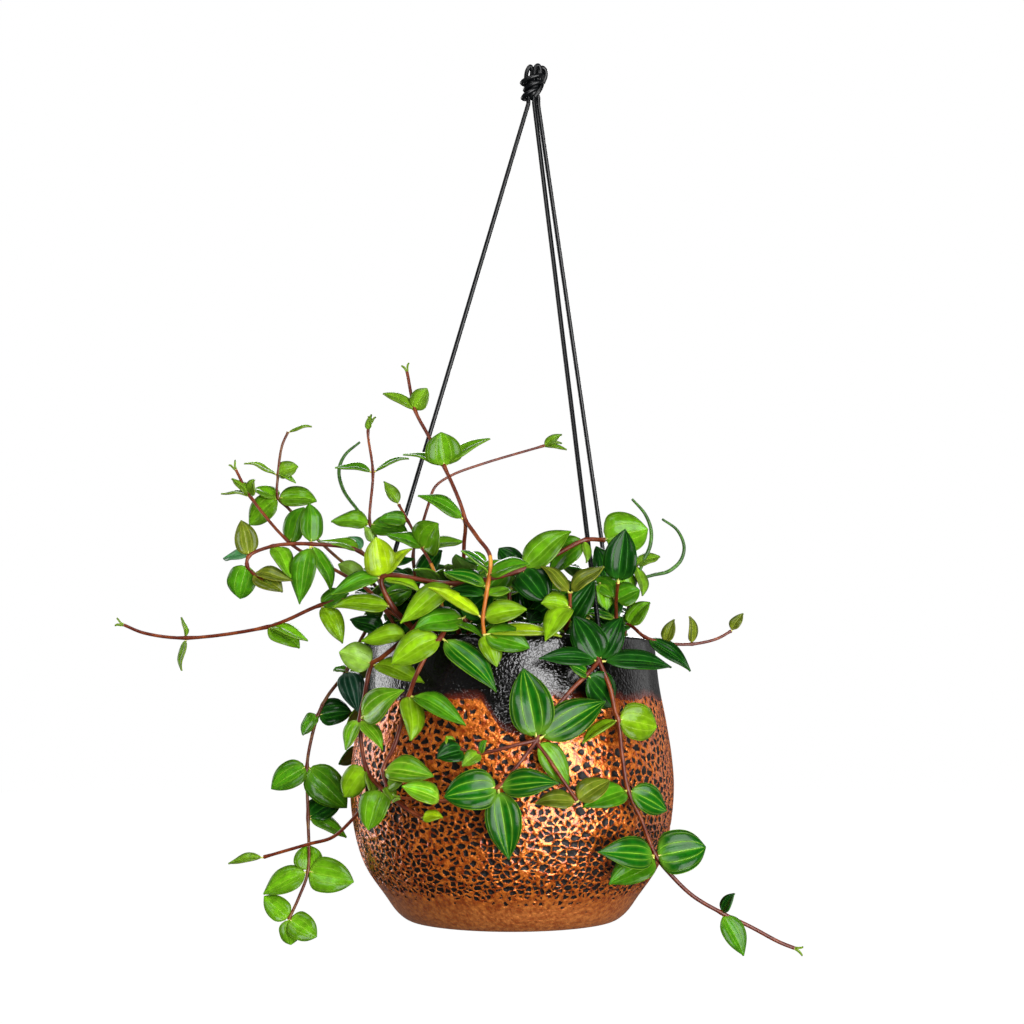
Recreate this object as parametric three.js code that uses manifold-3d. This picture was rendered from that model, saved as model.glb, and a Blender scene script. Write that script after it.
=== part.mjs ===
// A trailing peperomia in a glazed pot that hangs by three knotted cords.
// Millimetres, +Z up. Inside the group heights are measured from the pot's foot, and the group is
// lowered so that the point where the knot hangs is the origin.
import * as THREE from "three";
import { mergeVertices } from "three/addons/utils/BufferGeometryUtils.js";
import Module from "manifold-3d";

const wasm = await Module();
wasm.setup();

// Driving sizes
const gap = 0.3;
const pot = { rimZ: 152, wall: 5.4, floor: 7, turns: 32, footFlat: 56 };
const soil = { top: 130, holeRadius: 3, holeDepth: 12, holeSides: 5 };
const cord = { diameter: 2.6, sides: 8 };
const cordHole = { diameter: 4.4, slope: 40, length: 22, inset: 4, radius: 80.2, z: 142.8 };
const stopper = { radius: 3.7, flat: 0.9 };
const knot = { x: 13.2, bottom: 466, top: 490, width: 16, depth: 14, body: 14, core: 6.2 };
const wrap = { radius: 4.4, thick: 2.2, steps: 16, sides: 4 };
const loop = { radius: 4.1, narrow: 0.8, tall: 1.35, below: 6.9 };
const hang = { x: 12.9, z: 490 };
const brow = { radius: 66, below: 176 };
const leafForm = { thick: 1.4, neck: 2, petiole: 3.5, fold: 0.22, arch: 0.07, bud: 2, large: 35 };
const clear = { stem: 2.6, leaf: 0.3, margin: 0.2, right: 66 };

// Outer wall of the pot from the foot up: radius and height.
const outerWall = [
  [pot.footFlat, 0],
  [63, 4],
  [69.7, 12.9],
  [80.9, 29.1],
  [87, 48],
  [89.5, 69.5],
  [88.7, 86.5],
  [85.6, 107.4],
  [82.1, 126.3],
  [79.5, 150.2],
  [77.9, pot.rimZ],
];

const radians = THREE.MathUtils.degToRad;
const vector = (x, y, z) => new THREE.Vector3(x, y, z);

function solidOf(geometry) {
  const bare = geometry.index ? geometry.clone() : mergeVertices(geometry);
  for (const name of Object.keys(bare.attributes)) {
    if (name !== "position") bare.deleteAttribute(name);
  }
  const merged = mergeVertices(bare, 1e-4);
  return new wasm.Manifold(
    new wasm.Mesh({
      numProp: 3,
      vertProperties: new Float32Array(merged.attributes.position.array),
      triVerts: new Uint32Array(merged.index.array),
    }),
  );
}

function geometryOf(solid) {
  const mesh = solid.getMesh();
  const geometry = new THREE.BufferGeometry();
  geometry.setAttribute("position", new THREE.BufferAttribute(mesh.vertProperties, 3));
  geometry.setIndex(new THREE.BufferAttribute(mesh.triVerts, 1));
  return geometry;
}

// Inner wall from the rim down, a constant wall behind the main points of the outer one.
const mainPoints = [7, 5, 3].map((number) => outerWall[number]);
const innerWall = [
  [74.6, pot.rimZ],
  [73.6, 150.2],
  ...mainPoints.map(([radius, height]) => [radius - pot.wall, height]),
  [62, 17],
  [50, pot.floor],
];

function innerRadius(height) {
  const lower = innerWall.findIndex(([, z]) => z <= height);
  const [lowRadius, lowZ] = innerWall[lower];
  const [highRadius, highZ] = innerWall[lower - 1];
  return lowRadius + ((highRadius - lowRadius) * (height - lowZ)) / (highZ - lowZ);
}

function lathed(outline) {
  const points = outline.map(([radius, height]) => new THREE.Vector2(radius, height));
  const lathe = new THREE.LatheGeometry([...points, points[0]], pot.turns);
  lathe.rotateX(Math.PI / 2);
  return solidOf(lathe);
}

// Pot: one closed lathe profile, the wall a constant thickness, with a slanted hole for each cord.
const cordAngles = { cord_left: 180, cord_front: -56, cord_back: 40 };

function potSolid() {
  let solid = lathed([[0, 0], ...outerWall, ...innerWall, [0, pot.floor]]);
  for (const angle of Object.values(cordAngles)) {
    const radius = cordHole.diameter / 2;
    const hole = new THREE.CylinderGeometry(radius, radius, cordHole.length, cord.sides);
    hole.rotateZ(radians(cordHole.slope - 90));
    hole.rotateX(Math.PI / 2);
    const inward = cordHole.inset * Math.cos(radians(cordHole.slope));
    const down = cordHole.inset * Math.sin(radians(cordHole.slope));
    hole.translate(cordHole.radius - inward, 0, cordHole.z - down);
    hole.rotateZ(radians(angle));
    solid = solid.subtract(solidOf(hole));
  }
  return solid;
}

// Soil: fills the pot to a little below the rim, with a plain hole for each stem.
function soilSolid(roots) {
  const below = innerWall.filter(([, height]) => height < soil.top).reverse();
  const side = below.map(([radius, height]) => [radius - gap, height + gap]);
  const edge = [innerRadius(soil.top) - gap, soil.top];
  let solid = lathed([[0, pot.floor + gap], ...side, edge, [0, soil.top]]);
  for (const [x, y] of roots) {
    const { holeRadius, holeDepth, holeSides } = soil;
    const hole = new THREE.CylinderGeometry(holeRadius, holeRadius, 2 * holeDepth, holeSides);
    hole.rotateX(Math.PI / 2);
    hole.translate(x, y, soil.top);
    solid = solid.subtract(solidOf(hole));
  }
  return solid;
}

// A smooth route that is stepped evenly between its listed points, so that it meets each of them.
class Route extends THREE.CatmullRomCurve3 {
  constructor(points) {
    super(points, false, "centripetal");
  }

  getPointAt(share, target) {
    return this.getPoint(share, target);
  }

  getTangentAt(share, target) {
    return this.getTangent(share, target);
  }
}

function tube(points, section) {
  const options = { steps: points.length - 1, extrudePath: new Route(points) };
  return solidOf(new THREE.ExtrudeGeometry(section, options));
}

function roundSection(radius, sides) {
  const corners = [];
  for (let corner = 0; corner < sides; corner += 1) {
    const angle = (2 * Math.PI * corner) / sides;
    corners.push(new THREE.Vector2(radius * Math.cos(angle), radius * Math.sin(angle)));
  }
  return new THREE.Shape(corners);
}

function squareSection(side) {
  const half = side / 2;
  const corners = [[-half, -half], [half, -half], [half, half], [-half, half]];
  return new THREE.Shape(corners.map(([x, y]) => new THREE.Vector2(x, y)));
}

// Cords: from the stopper knot inside the wall, out and up through the slanted hole, taut to the knot.
const cordRoutes = {
  cord_left: [
    [-74.1, 0, 137.7], [-77.2, 0, 140.3], [-80.2, 0, 142.8], [-81.4, 0, 144.3], [-82, 0, 146.2],
    [-81.9, 0, 148], [-80.8, 0, 151.8], [-78.3, 0, 160.7], [-72.8, 0, 179.7], [-63.6, 0, 211.5],
    [-54.5, 0, 243.3], [-43.5, 0, 281.4], [-32.5, 0, 319.5], [-21.5, 0, 357.7], [-10.5, 0, 395.8],
    [0.4, 0, 433.9], [9.6, 0, 465.7],
  ],
  cord_front: [
    [41.5, -61.5, 137.7], [43.2, -64, 140.3], [44.8, -66.5, 142.8], [45.5, -67.5, 144.3],
    [45.9, -68, 146.2], [45.8, -67.9, 148], [45.4, -67.1, 151.8], [44.5, -65.3, 160.7],
    [42.5, -61.3, 179.7], [39.2, -54.7, 211.5], [35.9, -48, 243.3], [32, -40.1, 281.4],
    [28, -32.1, 319.5], [24.1, -24.1, 357.7], [20.1, -16.2, 395.8], [16.2, -8.2, 433.9],
    [12.9, -1.6, 465.7],
  ],
  cord_back: [
    [56.8, 47.7, 137.7], [59.1, 49.6, 140.3], [61.4, 51.6, 142.8], [62.4, 52.4, 144.3],
    [62.8, 52.7, 146.2], [62.8, 52.7, 148], [62.2, 52, 151.8], [60.9, 50.6, 160.7],
    [58, 47.5, 179.7], [53.3, 42.4, 211.5], [48.6, 37.3, 243.3], [42.9, 31.1, 281.4],
    [37.2, 25, 319.5], [31.5, 18.8, 357.7], [25.8, 12.7, 395.8], [20.1, 6.5, 433.9],
    [15.4, 1.4, 465.7],
  ],
};

function cordSolid(route) {
  const points = route.map(([x, y, z]) => vector(x, y, z));
  return tube(points, roundSection(cord.diameter / 2, cord.sides));
}

// Stopper knot: a small round overhand knot against the inside of the wall, at the end of its cord.
function stopperSolid(route) {
  const end = vector(...route[0]);
  const back = vector(...route[0]).sub(vector(...route[2])).normalize();
  const centre = end.addScaledVector(back, stopper.radius + gap);
  const ball = new THREE.SphereGeometry(stopper.radius, 6, 5);
  ball.scale(1, 1, stopper.flat);
  ball.translate(centre.x, centre.y, centre.z);
  return solidOf(ball);
}

// Top knot: the three cords tied over each other, with their short ends and loops standing above.
function knotSolid() {
  const middle = knot.bottom + knot.body / 2;
  const strands = new THREE.TorusKnotGeometry(wrap.radius, wrap.thick, wrap.steps, wrap.sides, 2, 3);
  strands.computeBoundingBox();
  const size = strands.boundingBox.getSize(vector(0, 0, 0));
  strands.scale(knot.width / size.x, knot.depth / size.y, knot.body / size.z);
  strands.translate(knot.x, 0, middle);
  const core = new THREE.SphereGeometry(knot.core, 6, 4);
  core.translate(knot.x, 0, middle);
  let solid = solidOf(strands).add(solidOf(core));
  for (const [shift, turn, lean] of [[-2.6, -35, 0], [0.8, 20, -6], [3, 70, 8]]) {
    const ring = new THREE.TorusGeometry(loop.radius, cord.diameter / 2, 4, 8);
    ring.scale(loop.narrow, loop.tall, 1);
    ring.rotateX(Math.PI / 2);
    ring.rotateY(radians(lean));
    ring.rotateZ(radians(turn));
    ring.translate(knot.x + shift, 0, knot.top - loop.below);
    solid = solid.add(solidOf(ring));
  }
  return solid;
}

// Front view of the hanging plant: a stem point or a leaf tip is given by where it stands in that
// view, across and down, and by its depth, in millimetres behind the middle of the pot.
const view = { distance: 880, height: 115.8, tilt: radians(7.04), focal: 1562, centre: 512 };

function seen(across, down, depth) {
  const u = (across - view.centre) / view.focal;
  const v = (view.centre - down) / view.focal;
  const lower = Math.cos(view.tilt) - v * Math.sin(view.tilt);
  const reach = (depth + view.distance) / lower;
  const rise = reach * (Math.sin(view.tilt) + v * Math.cos(view.tilt));
  return vector(reach * u, depth, view.height + rise);
}

// Stems: each has a route of front-view points and, where it grows from the soil, a root place.
// A leaf is [route point, tip across, tip down, depth gained, width, turn]. At turn 0 the upper face
// looks forward, at 90 it looks up, and at 180 the underside looks forward. Stems that cross share a
// piece name and grow together there.
const stems = [
  {
    piece: "stem_tall",
    side: 2.2,
    root: [-22, -36],
    route: [
      [464, 575, -50], [464, 545, -58], [465, 520, -64], [444, 466, -50], [428, 435, -42],
      [415, 410, -36], [407, 372, -30],
    ],
    leaves: [
      [2, 418, 495, -6, 12, 50],
      [3, 441, 432, -4, 19, 10],
      [3, 490, 438, 4, 12, 55],
      [3, 403, 454, 2, 10, 65],
      [5, 383, 393, 0, 11, 55],
      [5, 427, 388, -2, 11, 20],
    ],
  },
  {
    piece: "stem_tall",
    side: 2.2,
    route: [
      [465, 520, -64], [478, 538, -72], [490, 556, -78], [487, 590, -82], [483, 618, -84],
      [484, 634, -86],
    ],
    leaves: [
      [4, 428, 587, 2, 9, 45],
      [4, 527, 609, -4, 13, 30],
      [5, 562, 636, 2, 12, 60],
      [5, 497, 667, -4, 11, 20],
      [5, 530, 648, 1, 15, 25],
    ],
  },
  {
    piece: "stem_arch",
    side: 1.7,
    root: [-40, -14],
    route: [
      [413, 557, -24], [423, 522, -28], [429, 503, -30], [435, 487, -30], [450, 476, -28],
      [482, 464, -24], [543, 446, -14], [552, 443, -12],
    ],
    leaves: [
      [6, 562, 434, 0, 5, 20],
      [6, 567, 449, 0, 4, 50],
    ],
  },
  {
    piece: "stem_orange",
    side: 1.9,
    root: [-33, -30],
    route: [[435, 574, -44], [423, 549, -36], [408, 521, -26], [399, 505, -20]],
    leaves: [
      [1, 386, 534, 0, 12, 55],
      [1, 438, 523, -10, 20, 25],
      [1, 464, 541, 6, 11, 50],
      [2, 378, 520, 2, 11, 40],
      [3, 384, 481, 0, 7, 20],
    ],
  },
  {
    piece: "stem_upright_left",
    side: 1.8,
    root: [-56, -12],
    route: [
      [384, 580, -16], [376, 537, -14], [370, 524, -14], [373, 472, -12], [368, 432, -10],
      [370, 425, -10],
    ],
    leaves: [
      [2, 331, 521, 0, 13, 40],
      [2, 409, 535, -6, 14, 35],
      [3, 335, 467, 0, 10, 60],
      [3, 409, 458, -4, 9, 68],
      [4, 371, 414, 0, 4, 20],
    ],
  },
  {
    piece: "stem_upright_left",
    side: 2,
    spike: true,
    route: [
      [370, 524, -14], [357, 509, -6], [343, 489, 0], [339, 470, 2], [345, 455, 2], [360, 442, 2],
    ],
  },
  {
    piece: "stem_left_high",
    side: 1.8,
    root: [-57, -24],
    route: [
      [379, 590, -18], [340, 560, -18], [309, 531, -22], [288, 508, -24], [278, 498, -24],
      [278, 475, -24], [282, 446, -24], [288, 432, -24],
    ],
    leaves: [
      [4, 317, 501, 2, 15, 40],
      [4, 249, 525, 4, 15, 20],
      [4, 253, 489, 6, 12, 55],
      [5, 298, 466, -2, 11, 30],
      [5, 244, 463, 0, 8, 70],
      [5, 296, 482, -6, 7, 70],
      [7, 312, 426, 0, 4, 60],
    ],
  },
  {
    piece: "stem_left_diagonal",
    side: 2,
    root: [-50, -34],
    route: [
      [370, 592, -40], [344, 575, -38], [315, 559, -36], [290, 543, -34], [250, 496, -32],
      [236, 470, -30],
    ],
    leaves: [
      [3, 304, 507, -4, 14, 30],
      [4, 232, 478, 0, 7, 50],
      [4, 254, 479, -4, 8, 40],
      [4, 221, 493, 0, 6, 70],
    ],
  },
  {
    piece: "stem_left_arch",
    side: 2.2,
    root: [-52, -28],
    route: [
      [378, 578, -40], [361, 552, -46], [311, 544, -48], [291, 544, -48], [273, 546, -48],
      [249, 556, -48], [247, 565, -48], [253, 573, -50], [263, 581, -52],
    ],
    leaves: [
      [1, 318, 540, 6, 12, 60],
      [2, 309, 503, 3, 13, 35],
      [2, 299, 604, -5, 14, 15],
      [2, 331, 591, 3, 13, 60],
      [4, 291, 578, -6, 13, 50],
      [5, 241, 520, -2, 12, 20],
      [5, 223, 558, 10, 11, 50],
      [6, 240, 599, 4, 16, 15],
      [7, 292, 580, -6, 9, 40],
      [7, 283, 592, -2, 12, 30],
    ],
  },
  {
    piece: "stem_left_long",
    side: 2.1,
    root: [-52, -44],
    route: [
      [402, 619, -46], [352, 600, -44], [321, 605, -42], [287, 620, -40], [267, 627, -38], [186, 638, -32],
      [144, 633, -30], [124, 625, -29],
    ],
    leaves: [
      [2, 343, 643, -4, 12, 35],
      [2, 349, 593, 4, 12, 40],
      [4, 308, 640, -6, 11, 62],
      [4, 300, 648, 3, 14, 45],
      [5, 182, 617, 0, 4, 70],
      [5, 181, 671, 0, 6, 50],
    ],
  },
  {
    piece: "stem_trail_left",
    side: 2.6,
    root: [-38, -50],
    route: [
      [422, 621, -62], [409, 635, -67], [398, 644, -65], [381, 658, -60], [372, 664, -57],
      [364, 699, -54], [360, 719, -54], [366, 768, -56], [383, 790, -68], [410, 811, -80],
      [422, 817, -84],
    ],
    leaves: [
      [1, 361, 641, 3, 12, 35],
      [4, 339, 652, 0, 16, 28],
      [4, 424, 682, -20, 13, 40],
      [6, 404, 690, -24, 16, 20],
      [6, 345, 750, 2, 10, 40],
      [6, 383, 750, -14, 9, 40],
      [7, 344, 797, 4, 14, 20],
      [7, 373, 806, -8, 8, 60],
      [8, 368, 830, -6, 17, 30],
      [10, 443, 817, -4, 7, 40],
    ],
  },
  {
    piece: "stem_trail_left",
    side: 2,
    route: [
      [366, 768, -56], [366, 799, -56], [346, 826, -46], [331, 838, -40], [309, 844, -34],
      [264, 857, -28],
    ],
    leaves: [[5, 228, 863, 0, 6, 50]],
  },
  {
    piece: "stem_trail_front",
    side: 2.6,
    root: [-28, -54],
    route: [
      [450, 621, -71], [441, 637, -79], [427, 654, -84], [415, 678, -82], [409, 695, -78],
      [403, 717, -76], [394, 747, -75], [383, 770, -74], [387, 787, -78],
    ],
    leaves: [
      [0, 483, 637, -10, 7, 60],
      [1, 391, 664, -2, 18, 30],
      [1, 497, 692, -14, 15, 30],
      [4, 466, 725, -14, 13, 45],
      [4, 411, 741, -10, 14, 40],
      [7, 434, 776, -12, 15, 35],
      [8, 405, 779, -6, 8, 30],
      [8, 392, 800, -4, 7, 40],
    ],
  },
  {
    piece: "stem_hanging_left",
    side: 2.1,
    root: [-60, -2],
    route: [
      [375, 622, -8], [358, 645, -10], [347, 670, -10], [327, 697, -10], [318, 715, -10],
      [310, 745, -12], [307, 766, -12], [308, 818, -12], [308, 871, -14], [299, 897, -14],
      [289, 919, -14],
    ],
    leaves: [
      [2, 333, 670, 0, 8, 65],
      [2, 358, 712, -14, 14, 10],
      [4, 352, 712, 4, 16, 30],
      [4, 302, 735, 0, 11, 45],
      [6, 271, 789, 0, 15, 20],
      [6, 347, 808, 6, 19, 5],
      [7, 340, 800, 14, 15, 30],
      [7, 347, 837, 2, 12, 60],
      [8, 309, 845, 4, 15, 5],
      [8, 263, 894, 0, 14, 25],
      [8, 354, 882, -2, 18, 10],
      [10, 264, 896, 2, 12, 15],
      [10, 317, 937, 0, 14, 15],
      [10, 291, 945, 2, 12, 20],
    ],
  },
  {
    piece: "stem_trail_right",
    side: 2.4,
    root: [28, -50],
    route: [
      [584, 623, -69], [599, 661, -81], [610, 688, -82], [615, 711, -80], [618, 719, -79],
      [622, 755, -78], [628, 790, -77], [641, 819, -73], [656, 856, -68], [672, 876, -66],
      [693, 896, -64], [722, 913, -62], [751, 927, -60], [779, 942, -58], [794, 948, -57],
    ],
    leaves: [
      [1, 539, 658, -12, 11, 35],
      [1, 672, 667, 24, 12, 35],
      [1, 574, 616, 1, 17, 5],
      [1, 622, 617, 6, 14, 10],
      [4, 657, 727, 12, 18, 10],
      [4, 582, 743, -10, 10, 60],
      [6, 583, 807, -18, 14, 30],
      [6, 667, 811, 14, 14, 20],
      [8, 598, 852, -20, 16, 20],
      [8, 706, 847, 4, 21, 10],
      [8, 609, 884, -7, 16, 20],
      [11, 734, 893, -4, 7, 50],
      [11, 744, 956, 0, 12, 20],
    ],
  },
  {
    piece: "stem_trail_right",
    side: 2.2,
    route: [
      [599, 661, -81], [587, 674, -86], [560, 703, -91], [537, 740, -96], [548, 758, -98],
      [577, 801, -99],
    ],
    leaves: [
      [1, 570, 665, -6, 9, 40],
      [1, 612, 707, 16, 16, 15],
      [3, 523, 668, 4, 21, 5],
      [3, 606, 701, 12, 18, 15],
      [3, 569, 787, 5, 13, 20],
      [5, 535, 803, -2, 11, 45],
      [5, 610, 780, 6, 13, 35],
    ],
  },
  {
    piece: "stem_trail_right",
    side: 1.9,
    route: [[537, 740, -96], [520, 744, -98], [480, 753, -97], [463, 750, -96], [452, 746, -95]],
    leaves: [
      [2, 486, 740, -4, 5, 50],
      [2, 462, 766, -4, 8, 30],
      [4, 446, 736, 0, 6, 40],
      [3, 437, 758, -4, 13, 35],
    ],
  },
  {
    piece: "stem_trail_right",
    side: 1.9,
    route: [
      [537, 740, -96], [521, 761, -101], [498, 787, -101], [465, 799, -99], [441, 801, -97],
      [417, 799, -94], [401, 798, -90],
    ],
    leaves: [
      [2, 559, 783, -8, 14, 25],
      [2, 509, 860, 3, 17, 5],
      [2, 444, 797, 0, 19, 15],
      [4, 402, 786, -5, 12, 40],
    ],
  },
  {
    piece: "stem_right",
    side: 1.9,
    root: [52, -30],
    route: [
      [628, 625, -46], [645, 637, -54], [665, 643, -54], [692, 644, -50], [716, 639, -48],
      [731, 631, -46],
    ],
    leaves: [
      [0, 650, 602, 0, 12, 40],
      [0, 604, 634, -20, 10, 40],
      [1, 691, 671, -6, 11, 40],
      [2, 674, 619, -2, 7, 20],
      [3, 690, 616, -4, 8, 50],
      [5, 743, 613, 0, 6, 30],
    ],
  },
  {
    piece: "stem_centre",
    side: 2.8,
    root: [-36, -44],
    route: [
      [392, 606, -59], [382, 577, -62], [455, 584, -66], [522, 570, -68], [555, 555, -66],
      [585, 540, -66], [604, 540, -60],
    ],
    leaves: [
      [0, 333, 607, -8, 14, 45],
      [1, 376, 537, -4, 16, 10],
      [1, 412, 548, 2, 10, 50],
      [1, 331, 594, -6, 13, 45],
      [1, 421, 592, -8, 10, 60],
      [2, 400, 623, -8, 14, 25],
      [2, 509, 561, 0, 10, 60],
      [3, 547, 601, -8, 19, 10],
      [3, 571, 531, 2, 17, 30],
      [5, 549, 572, 8, 16, 35],
      [5, 587, 563, -5, 5, 30],
      [6, 648, 529, 4, 23, 15],
    ],
  },
  {
    piece: "stem_cluster",
    side: 2,
    root: [16, -38],
    route: [[568, 622, -68], [570, 606, -75], [570, 593, -78]],
    leaves: [
      [1, 545, 640, -20, 13, 35],
      [1, 541, 603, -4, 12, 30],
      [0, 594, 580, -4, 15, 20],
      [2, 541, 566, 2, 10, 45],
      [2, 604, 566, -3, 11, 45],
    ],
  },
  {
    piece: "stem_front_low",
    side: 2.2,
    root: [-8, -50],
    route: [[466, 622, -70], [464, 618, -71]],
    leaves: [
      [1, 414, 630, -6, 17, 40],
      [1, 492, 590, 2, 16, 25],
    ],
  },
  {
    piece: "stem_right_upright",
    side: 2.2,
    root: [46, -12],
    route: [[627, 622, -28], [631, 595, -26], [636, 580, -24], [636, 565, -24]],
    leaves: [
      [1, 612, 562, -4, 13, 25],
      [3, 660, 556, 0, 10, 50],
      [3, 643, 596, -6, 10, 50],
    ],
  },
  {
    piece: "stem_right_upright",
    side: 2,
    spike: true,
    route: [
      [636, 580, -24], [644, 560, -24], [650, 546, -24], [651, 530, -24], [645, 514, -24],
      [632, 499, -24],
    ],
  },
  {
    piece: "stem_right_upright",
    side: 2,
    spike: true,
    route: [
      [636, 580, -24], [653, 575, -20], [669, 571, -16], [681, 560, -14], [684, 546, -14],
      [677, 530, -14], [662, 519, -14],
    ],
  },
  {
    piece: "stem_right_dark",
    side: 2.2,
    root: [36, -30],
    route: [[615, 622, -48], [616, 600, -58], [618, 583, -68]],
    leaves: [
      [2, 625, 529, -4, 17, 10],
      [1, 640, 590, 0, 14, 30],
      [1, 588, 575, 20, 14, 30],
    ],
  },
];

// Crown and trails: stems placed by rule, where the front view doesn't show them.
const crown = { count: 12, piece: "stem_crown_", side: 2.2, inner: 12, spread: 36, start: 111 };
const goldenAngle = 137.5;
const trails = {
  piece: "stem_back_",
  side: 2.2,
  azimuths: [56, 74, 91, 108, 125, 142],
  drops: [4, 3, 5, 4, 3, 3],
  root: 58,
  lip: [77, 161],
  shoulder: [93, 156],
  fall: { radius: 101, top: 138, step: 25 },
};
const attempts = 5;

let state = 4301;
function draw(low, high) {
  state = (state * 16807) % 2147483647;
  return low + ((high - low) * state) / 2147483647;
}

// Upper face of a leaf: forward, turned about the leaf towards the sky by the given angle.
function faceNormal(direction, turn) {
  const forward = vector(0, -1, 0);
  forward.addScaledVector(direction, -forward.dot(direction)).normalize();
  const side = direction.clone().cross(forward);
  if (side.z + 0.01 * side.x < 0) side.negate();
  return forward.multiplyScalar(Math.cos(radians(turn))).addScaledVector(side, Math.sin(radians(turn)));
}

// A leaf: a thick blade, folded along its midrib and arched, on a short petiole sunk in the stem.
const bladeRows = { large: [[0.2, 0.78], [0.5, 1], [0.78, 0.7]], small: [[0.3, 0.95], [0.7, 0.8]] };
function leafSolid({ base, tip, width, normal }) {
  const along = tip.clone().sub(base);
  const length = along.length();
  along.normalize();
  const across = along.clone().cross(normal).normalize();
  const rows = length > leafForm.large ? bladeRows.large : bladeRows.small;
  const blade = length - leafForm.petiole;
  const stations = [{ at: leafForm.petiole, half: leafForm.neck / 2, lift: 0 }];
  for (const [share, wide] of rows) {
    const half = (wide * width) / 2;
    stations.push({ at: leafForm.petiole + share * blade, half, lift: leafForm.fold * half });
  }
  const corners = [];
  const place = (at, side, up) => {
    const arch = leafForm.arch * length * Math.sin((Math.PI * Math.max(at, 0)) / length);
    const point = base.clone().addScaledVector(along, at).addScaledVector(across, side);
    point.addScaledVector(normal, up + arch);
    corners.push(point.x, point.y, point.z);
  };
  place(-leafForm.neck / 2, 0, 0);
  for (const { at, half, lift } of stations) {
    place(at, -half, lift);
    place(at, 0, leafForm.thick / 2);
    place(at, half, lift);
    place(at, 0, -leafForm.thick / 2);
  }
  place(length, 0, 0);
  const faces = [];
  const corner = (ring, side) => 1 + 4 * ring + (side % 4);
  const last = stations.length - 1;
  for (let side = 0; side < 4; side += 1) {
    faces.push(0, corner(0, side + 1), corner(0, side));
    faces.push(corner(last, side), corner(last, side + 1), 4 * stations.length + 1);
    for (let ring = 0; ring < last; ring += 1) {
      const [a, b] = [corner(ring, side), corner(ring, side + 1)];
      const [c, d] = [corner(ring + 1, side + 1), corner(ring + 1, side)];
      if (side % 2 === 0) faces.push(a, b, d, b, c, d);
      else faces.push(a, b, c, a, c, d);
    }
  }
  const geometry = new THREE.BufferGeometry();
  geometry.setAttribute("position", new THREE.BufferAttribute(new Float32Array(corners), 3));
  geometry.setIndex(faces);
  return solidOf(geometry);
}

// Room: balls along each leaf, and the lines of the cords, that a leaf placed by rule stays clear of.
// Above the rim such a leaf also stays left of the crown's right edge.
const room = [];
const leafShares = [0.35, 0.55, 0.75, 0.95];

function ballsOf({ base, tip, width }) {
  const radius = clear.leaf * width + clear.margin;
  return leafShares.map((share) => ({ at: base.clone().lerp(tip, share), radius }));
}

function cordDistance(point) {
  let nearest = Infinity;
  for (const route of Object.values(cordRoutes)) {
    const low = vector(...route[6]);
    const high = vector(...route[16]);
    const line = new THREE.Line3(low, high);
    const foot = line.closestPointToPoint(point, true, vector(0, 0, 0));
    nearest = Math.min(nearest, foot.distanceTo(point));
  }
  return nearest;
}

function hasRoom(leaf) {
  return ballsOf(leaf).every(({ at, radius }) => {
    if (at.z > pot.rimZ && at.x + radius > clear.right) return false;
    if (cordDistance(at) < leaf.width / 2 + cord.diameter) return false;
    return room.every((ball) => ball.at.distanceTo(at) > ball.radius + radius);
  });
}

// All points of a stem from its foot in the soil, with a brow point where it climbs over the rim.
function wholeRoute({ root, route }) {
  if (!root) return route;
  const [x, y] = root;
  const foot = soil.top - soil.holeDepth + gap;
  const points = [vector(x, y, foot), vector(x, y, soil.top + 4)];
  const reach = Math.hypot(route[0].x, route[0].y);
  if (reach > brow.radius && route[0].z < brow.below) {
    const share = brow.radius / reach;
    points.push(vector(share * route[0].x, share * route[0].y, pot.rimZ));
  }
  return [...points, ...route];
}

function keepClear(stem) {
  const points = wholeRoute(stem);
  points.forEach((point, number) => {
    const before = points[Math.max(number - 1, 0)];
    for (const share of [0, 1 / 3, 2 / 3]) {
      room.push({ at: point.clone().lerp(before, share), radius: clear.stem });
    }
  });
}

// A leaf drawn for a seat: from the seat's stem point, at about its azimuth and elevation, with its
// upper face turned as far towards the seat's facing as the leaf's own direction allows.
function drawnLeaf({ base, azimuth, elevation, scale, facing }) {
  const heading = radians(azimuth + draw(-24, 24));
  const pitch = radians(elevation + draw(-16, 16));
  const length = scale * draw(23, 31);
  const width = length * draw(0.48, 0.62);
  const flat = Math.cos(pitch);
  const direction = vector(flat * Math.cos(heading), flat * Math.sin(heading), Math.sin(pitch));
  const normal = facing.clone().addScaledVector(direction, -facing.dot(direction)).normalize();
  const tip = base.clone().addScaledVector(direction, length);
  return { base, tip, width, normal };
}

function leavesOn(seats) {
  const leaves = [];
  for (const seat of seats) {
    for (let attempt = 0; attempt < attempts; attempt += 1) {
      const leaf = drawnLeaf(seat);
      if (hasRoom(leaf)) {
        room.push(...ballsOf(leaf));
        leaves.push(leaf);
        break;
      }
    }
  }
  return leaves;
}

function crownStem(number) {
  const azimuth = number * goldenAngle + crown.start;
  const radius = crown.inner + crown.spread * Math.sqrt((number + 0.5) / crown.count);
  const lean = draw(8, 20);
  const height = draw(50, 72) - radius * 0.3;
  const heading = radians(azimuth);
  const at = (distance, z) => vector(distance * Math.cos(heading), distance * Math.sin(heading), z);
  const route = [
    at(radius + 0.2 * lean, soil.top + 0.4 * height),
    at(radius + 0.55 * lean, soil.top + 0.72 * height),
    at(radius + lean, soil.top + height),
  ];
  const seats = route.flatMap((point, node) => {
    const facing = vector(0.5 * Math.cos(heading), 0.5 * Math.sin(heading), 1);
    const elevation = 8 * node - 8;
    return [45, 225].map((side) => {
      return { base: point, azimuth: azimuth + 90 * node + side, elevation, scale: 1.05, facing };
    });
  });
  return { root: [at(radius, 0).x, at(radius, 0).y], route, seats };
}

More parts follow.
